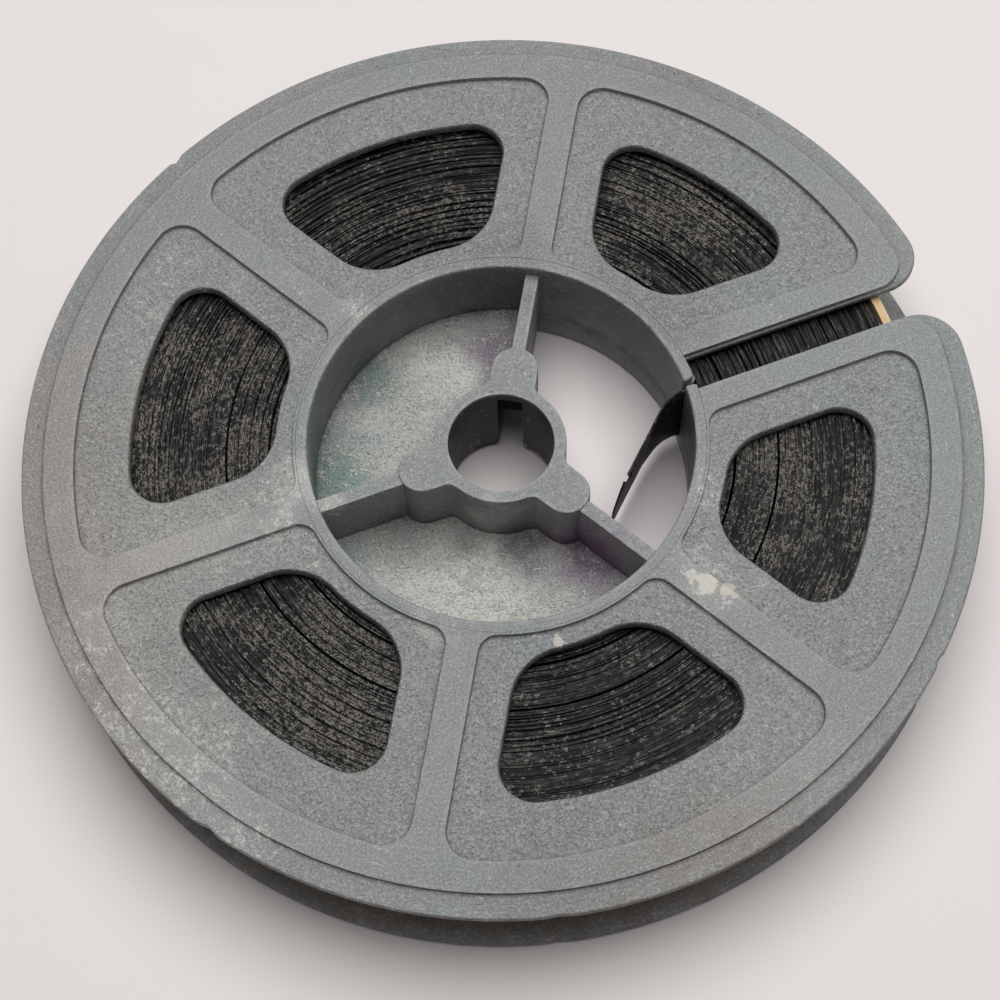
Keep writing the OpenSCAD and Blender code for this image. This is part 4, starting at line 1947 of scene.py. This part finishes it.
@dataclass
class FreeStrip(Piece):
    """A thin strip on edge with a free end: a flat outline, given thickness and laid along a path."""

    holder: Body
    free: Body
    # Lengths along the strip at which two points of its path are taken
    bend_span: Point
    thickness: float = 0.15
    # How far the lower edge stands to the side, and the length over which it gets there
    lean: float = 0.0
    lean_run: float = 4.0

    def lay(self, s: float, off: float) -> Point:
        """Point of the strip at a length along it and a distance to its side."""
        raise NotImplementedError

    def outlines(self) -> list[Outline]:
        """Outer edge of the flat strip, and its holes."""
        raise NotImplementedError

    def build(self, material: bpy.types.Material) -> bpy.types.Object:
        """Make the strip, laid along its path.

        Args:
            material: The film's or leader's finish.

        Returns:
            The object.
        """
        sketch = MeshSketch()
        sides = []
        for _ in range(2):
            rings = [[sketch.add((s, z, 0.0)) for s, z in outline] for outline in self.outlines()]
            sketch.fill(rings)
            sides.append(rings)
        for first, second in zip(*sides):
            sketch.skin(first, second, False)
        flat = list(sketch.points)
        for i, (s, z, _) in enumerate(flat):
            off = self.thickness / 2 * (-1 if i < len(flat) // 2 else 1)
            below = (REEL.film_high - z) / (REEL.film_high - REEL.film_low)
            off += self.lean * below * min(1.0, max(0.0, s / self.lean_run))
            sketch.points[i] = (*self.lay(s, off), z)
        piece = sketch.build(self.node + "_strip", material)
        height = (REEL.film_low + REEL.film_high) / 2
        start, end = (tuple(c * MM for c in (*self.lay(s, 0.0), height)) for s in self.bend_span)
        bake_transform(piece)
        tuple(start)
        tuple(end)
        return piece


@dataclass
class Tail(FreeStrip):
    """End of the film that stands in the well: its bend at the core's cut, and its torn outline."""

    node: str = "film_tail"
    slot: Slot = Slot.FILM
    body: Optional[Body] = None
    holder: Body = Body.REEL
    free: Body = Body.TAIL
    bend_span: Point = (-0.2, 1.0)
    lean: float = -0.6
    cut_place: float = -2.8
    cut_angle: float = 5.0
    bend_r: float = 3.5
    bend: float = 41.0
    grip: float = 0.35
    last_perf: float = 8.0
    perf_pitch: float = 3.81
    perf_l: float = 1.27
    perf_h: float = 1.83
    perf_edge: float = 0.9
    perf_round: float = 0.25
    # The torn edge: length along the film, and height above its lower edge or depth under its upper one
    torn_low: tuple[Point, ...] = ((9.3, 0.0), (9.5, 0.6), (9.85, 1.9), (10.05, 3.3), (9.95, 4.6), (9.6, 6.1))
    torn_high: tuple[Point, ...] = ((9.3, 0.9), (9.05, 0.15), (8.95, 0.55))
    broken: tuple[Point, ...] = ((8.2, 0.9), (8.32, 0.5), (8.42, 0.0))

    EDGE_STEPS: ClassVar[int] = 40
    ROUND_STEPS: ClassVar[int] = 5

    def lay(self, s: float, off: float) -> Point:
        """Point of the strip, which runs out of the cut, bends and stands straight in the well.

        Args:
            s: Length from the cut's mouth.
            off: Distance to the strip's side.

        Returns:
            The point in the part's frame.
        """
        bend_l = self.bend_r * math.radians(self.bend)
        turn = math.radians(self.bend) * min(max(s / bend_l, 0.0), 1.0)
        before, after = min(s, 0.0), max(s - bend_l, 0.0)
        x = before + self.bend_r * math.sin(turn) + after * math.cos(turn) - off * math.sin(turn)
        y = self.bend_r * (1 - math.cos(turn)) + after * math.sin(turn) + off * math.cos(turn)
        (x, y), = turned([(x, y)], 180.0 + self.cut_angle)
        return turned([(REEL.core_r - Core.wall + x, y)], self.cut_place)[0]

    def perforation(self, middle: float) -> list[Outline]:
        """Rounded corners of one perforation.

        Args:
            middle: Length along the film of its middle.

        Returns:
            The corners at the lower right, upper right, upper left and lower left, counter-clockwise.
        """
        top = REEL.film_high - self.perf_edge
        foot = top - self.perf_h
        corners = []
        for side, level, turn in ((1, foot, -90.0), (1, top, 0.0), (-1, top, 90.0), (-1, foot, 180.0)):
            inward = self.perf_round if level == foot else -self.perf_round
            centre = (middle + side * (self.perf_l / 2 - self.perf_round), level + inward)
            corners.append(arc(centre, self.perf_round, turn, turn + 90.0, self.ROUND_STEPS))
        return corners

    def outlines(self) -> list[Outline]:
        """Draw the flat strip, torn off past its last perforation and broken above it.

        Returns:
            The outer edge and the whole perforation.
        """
        low, high = REEL.film_low, REEL.film_high
        lower_right, _, upper_left, lower_left = self.perforation(self.last_perf)
        torn = [(s, low + up) for s, up in self.torn_low] + [(s, high - down) for s, down in self.torn_high]
        torn.append((self.last_perf + self.perf_l / 2, high - self.perf_edge - self.perf_round))
        for corner in (lower_right, lower_left, upper_left):
            torn += corner[::-1]
        torn += [(s, high - down) for s, down in self.broken]
        outer = [(-self.grip, low)] + straight((-self.grip, low), torn[0], self.EDGE_STEPS) + torn
        outer += straight(torn[-1], (-self.grip, high), self.EDGE_STEPS) + [(-self.grip, high)]
        whole = [point for corner in self.perforation(self.last_perf - self.perf_pitch) for point in corner]
        return [outer, whole]


@dataclass
class LeaderEnd(FreeStrip):
    """Free end of the leader: it lies along the last turn and ends in a rounded cut."""

    node: str = "leader_end"
    slot: Slot = Slot.LEADER
    body: Optional[Body] = None
    holder: Body = Body.OUTER
    free: Body = Body.LEADER_END
    bend_span: Point = (-0.3, 1.5)
    root: float = 250.0
    tuck: float = 9.0
    length: float = 14.0
    corner: float = 1.2
    radius: float = 32.465
    # How far the tucked part lies inside the free part, and the length over which it gets there
    sink: float = 0.23
    sink_run: float = 4.0
    sink_curve: float = 1.5

    EDGE_STEPS: ClassVar[int] = 48
    ROUND_STEPS: ClassVar[int] = 8

    def lay(self, s: float, off: float) -> Point:
        """Point of the strip at a length along it and a distance to its side."""
        sunk = self.sink * min(1.0, max(0.0, -s / self.sink_run)) ** self.sink_curve
        return polar(self.radius - sunk + off, self.root + math.degrees(s / self.radius))

    def outlines(self) -> list[Outline]:
        """Draw the flat strip, with rounded corners at the free end.

        Returns:
            The outer edge.
        """
        low, high = REEL.film_low, REEL.film_high
        begin = -math.radians(self.tuck) * self.radius
        end = self.length - self.corner
        outer = [(begin, low)] + straight((begin, low), (end, low), self.EDGE_STEPS)
        outer += arc((end, low + self.corner), self.corner, -90.0, 0.0, self.ROUND_STEPS)
        outer += arc((end, high - self.corner), self.corner, 0.0, 90.0, self.ROUND_STEPS)
        outer += straight((end, high), (begin, high), self.EDGE_STEPS) + [(begin, high)]
        return [outer]


def reel_pieces() -> list[Piece]:
    """List the pieces.

    Returns:
        Every piece of the reel, in the order in which they are made.
    """
    upper = Flange(
        "upper_flange", slotted=True, upward=True,
        nicks=(Dent(116.0, 0.35, 0.3), Dent(-145.0, 0.5, 0.22), *Flange.nicks),
        worn_places=(Dent(-150.0, 2.5, 0.08), Dent(70.0, 3.0, 0.06)))
    inner = Winding(
        "film_inner_turns", Slot.FILM, Body.INNER, "core",
        loose=((17.1, 60.0), (17.6, 110.0), (17.5, 270.0)), phase=0.7)
    middle = Winding(
        "film_middle_turns", Slot.FILM, Body.MIDDLE, "film_inner_turns",
        loose=((18.3, 75.0), (18.8, 250.0), (19.3, 95.0), (20.2, 165.0), (20.6, 60.0)), phase=1.9)
    outer = Winding(
        "film_outer_turns", Slot.FILM, Body.OUTER, "film_middle_turns",
        loose=((21.7, 255.0), (22.6, 170.0), (24.0, 100.0)), phase=3.1)
    leader = Winding(
        "leader_turns", Slot.LEADER, Body.OUTER, "film_outer_turns",
        ragged=0.02, gap_depth=0.05, gap_share=0.05, phase=0.2, seam=246.0)
    return [Core(), upper, Flange("lower_flange"), inner, middle, outer, leader, Tail(), LeaderEnd()]


@dataclass
class Reel:
    """The whole object: its finishes and its pieces."""

    kit: EffectKit
    plastic: PlasticFinish = PlasticFinish()
    film: WindingFinish = WindingFinish(
        "film_edges",
        dark=srgb(12, 11, 11),
        light=srgb(88, 84, 81),
        dust=srgb(158, 153, 146),
        dust_share=0.55,
        cover=0.66,
        roughness=0.5,
        specular=0.1,
        patches=(
            Patch((-23.0, 10.0, 9.0), 13.0, 0.5),
            Patch((-19.0, -16.0, 9.0), 14.0, 0.95),
            Patch((23.0, -11.0, 9.0), 14.0, 0.45),
            Patch((20.0, 15.0, 9.0), 12.0, 0.38),
            Patch((2.0, -22.0, 9.0), 11.0, -0.06),
            Patch((11.5, -1.5, 5.0), 7.0, -1.0),
            Patch((20.0, 0.3, 9.0), 5.5, -0.6),
            Patch((28.0, 0.3, 9.0), 5.5, -0.6),
        ))
    leader: WindingFinish = WindingFinish(
        "leader_edges",
        dark=srgb(214, 184, 138),
        light=srgb(230, 204, 162),
        dust=srgb(232, 226, 212),
        dust_share=0.2,
        cover=0.2,
        roughness=0.55,
        specular=0.3)
    pieces: list[Piece] = field(default_factory=reel_pieces)

    def build(self) -> None:
        """Make the finishes, then make and dress every piece."""
        finishes = {
            Slot.PLASTIC: self.plastic.build(self.kit),
            Slot.FILM: self.film.build(self.kit),
            Slot.LEADER: self.leader.build(self.kit),
        }
        for piece in self.pieces:
            piece.dress(piece.build(finishes[piece.slot]))


@dataclass(frozen=True)
class Camera:
    """The photograph's camera."""

    azimuth: float = -17.7
    elevation: float = 67.066
    roll: float = -2.907
    distance: float = 154.59
    aim: Place = (-1.856, -4.816, 10.5)
    lens: float = 74.387
    sensor: float = 36.0
    nearest: float = 5.0

    def build(self) -> None:
        """Place the camera and make it the scene's."""
        a, e, roll = (math.radians(v) for v in (self.azimuth, self.elevation, self.roll))
        back = Vector((math.sin(a) * math.cos(e), -math.cos(a) * math.cos(e), math.sin(e)))
        right = Vector((math.cos(a), math.sin(a), 0.0))
        up = back.cross(right)
        across = right * math.cos(roll) + up * math.sin(roll)
        above = up * math.cos(roll) - right * math.sin(roll)
        data = bpy.data.cameras.new("photo_camera")
        data.lens = self.lens
        data.sensor_width = self.sensor
        data.clip_start = self.nearest * MM
        camera = bpy.data.objects.new("photo_camera", data)
        turn = Matrix((across, above, back)).transposed().to_4x4()
        camera.matrix_world = Matrix.Translation((Vector(self.aim) + back * self.distance) * MM) @ turn
        bpy.context.scene.collection.objects.link(camera)
        bpy.context.scene.camera = camera


@dataclass(frozen=True)
class Studio:
    """Pale floor, soft overhead light and an even surround."""

    floor_colour: Colour = srgb(239, 233, 231)
    floor_shade: float = 0.96
    floor_scale: float = 20.0
    floor_roughness: float = 0.8
    floor_reach: float = 900.0
    floor_drop: float = 0.02
    surround: Colour = (0.96, 0.97, 1.0)
    surround_level: float = 0.12
    key_power: float = 2.95
    # Size and place of the light, in metres
    key_size: float = 0.55
    key_place: Place = (0.085, 0.1, 0.52)

    def build(self) -> None:
        """Make the floor, the light and the surround."""
        self.make_floor()
        data = bpy.data.lights.new("key", "AREA")
        data.shape = "DISK"
        data.size = self.key_size
        data.energy = self.key_power
        key = bpy.data.objects.new("key", data)
        key.location = self.key_place
        key.rotation_euler = (-Vector(self.key_place)).to_track_quat("-Z", "Y").to_euler()
        bpy.context.scene.collection.objects.link(key)
        world = bpy.data.worlds.new("surround")
        world.use_nodes = True
        background = world.node_tree.nodes["Background"]
        background.inputs["Color"].default_value = (*self.surround, 1.0)
        background.inputs["Strength"].default_value = self.surround_level
        bpy.context.scene.world = world
        bpy.context.scene.view_settings.view_transform = "Standard"

    def make_floor(self) -> None:
        """A plain pale floor just under the reel."""
        material, bench, shader = new_material("floor_paint")
        place = bench.add("ShaderNodeTexCoord").outputs["Object"]
        grey = tuple(c * self.floor_shade for c in self.floor_colour)
        paint = bench.mix(bench.noise(place, self.floor_scale, 3.0), self.floor_colour, grey)
        bench.feed(shader.inputs["Base Color"], paint)
        shader.inputs["Roughness"].default_value = self.floor_roughness
        sketch = MeshSketch()
        reach = self.floor_reach
        corners = [(-reach, -reach), (reach, -reach), (reach, reach), (-reach, reach)]
        sketch.face(sketch.ring(corners, -self.floor_drop))
        sketch.build("floor", material)


def main() -> None:
    """Build the scene."""
    logging.basicConfig(level=logging.INFO, format="%(name)s: %(message)s")
    Camera().build()
    Studio().build()
    Reel(EffectKit()).build()


if __name__ == "__main__":
    main()
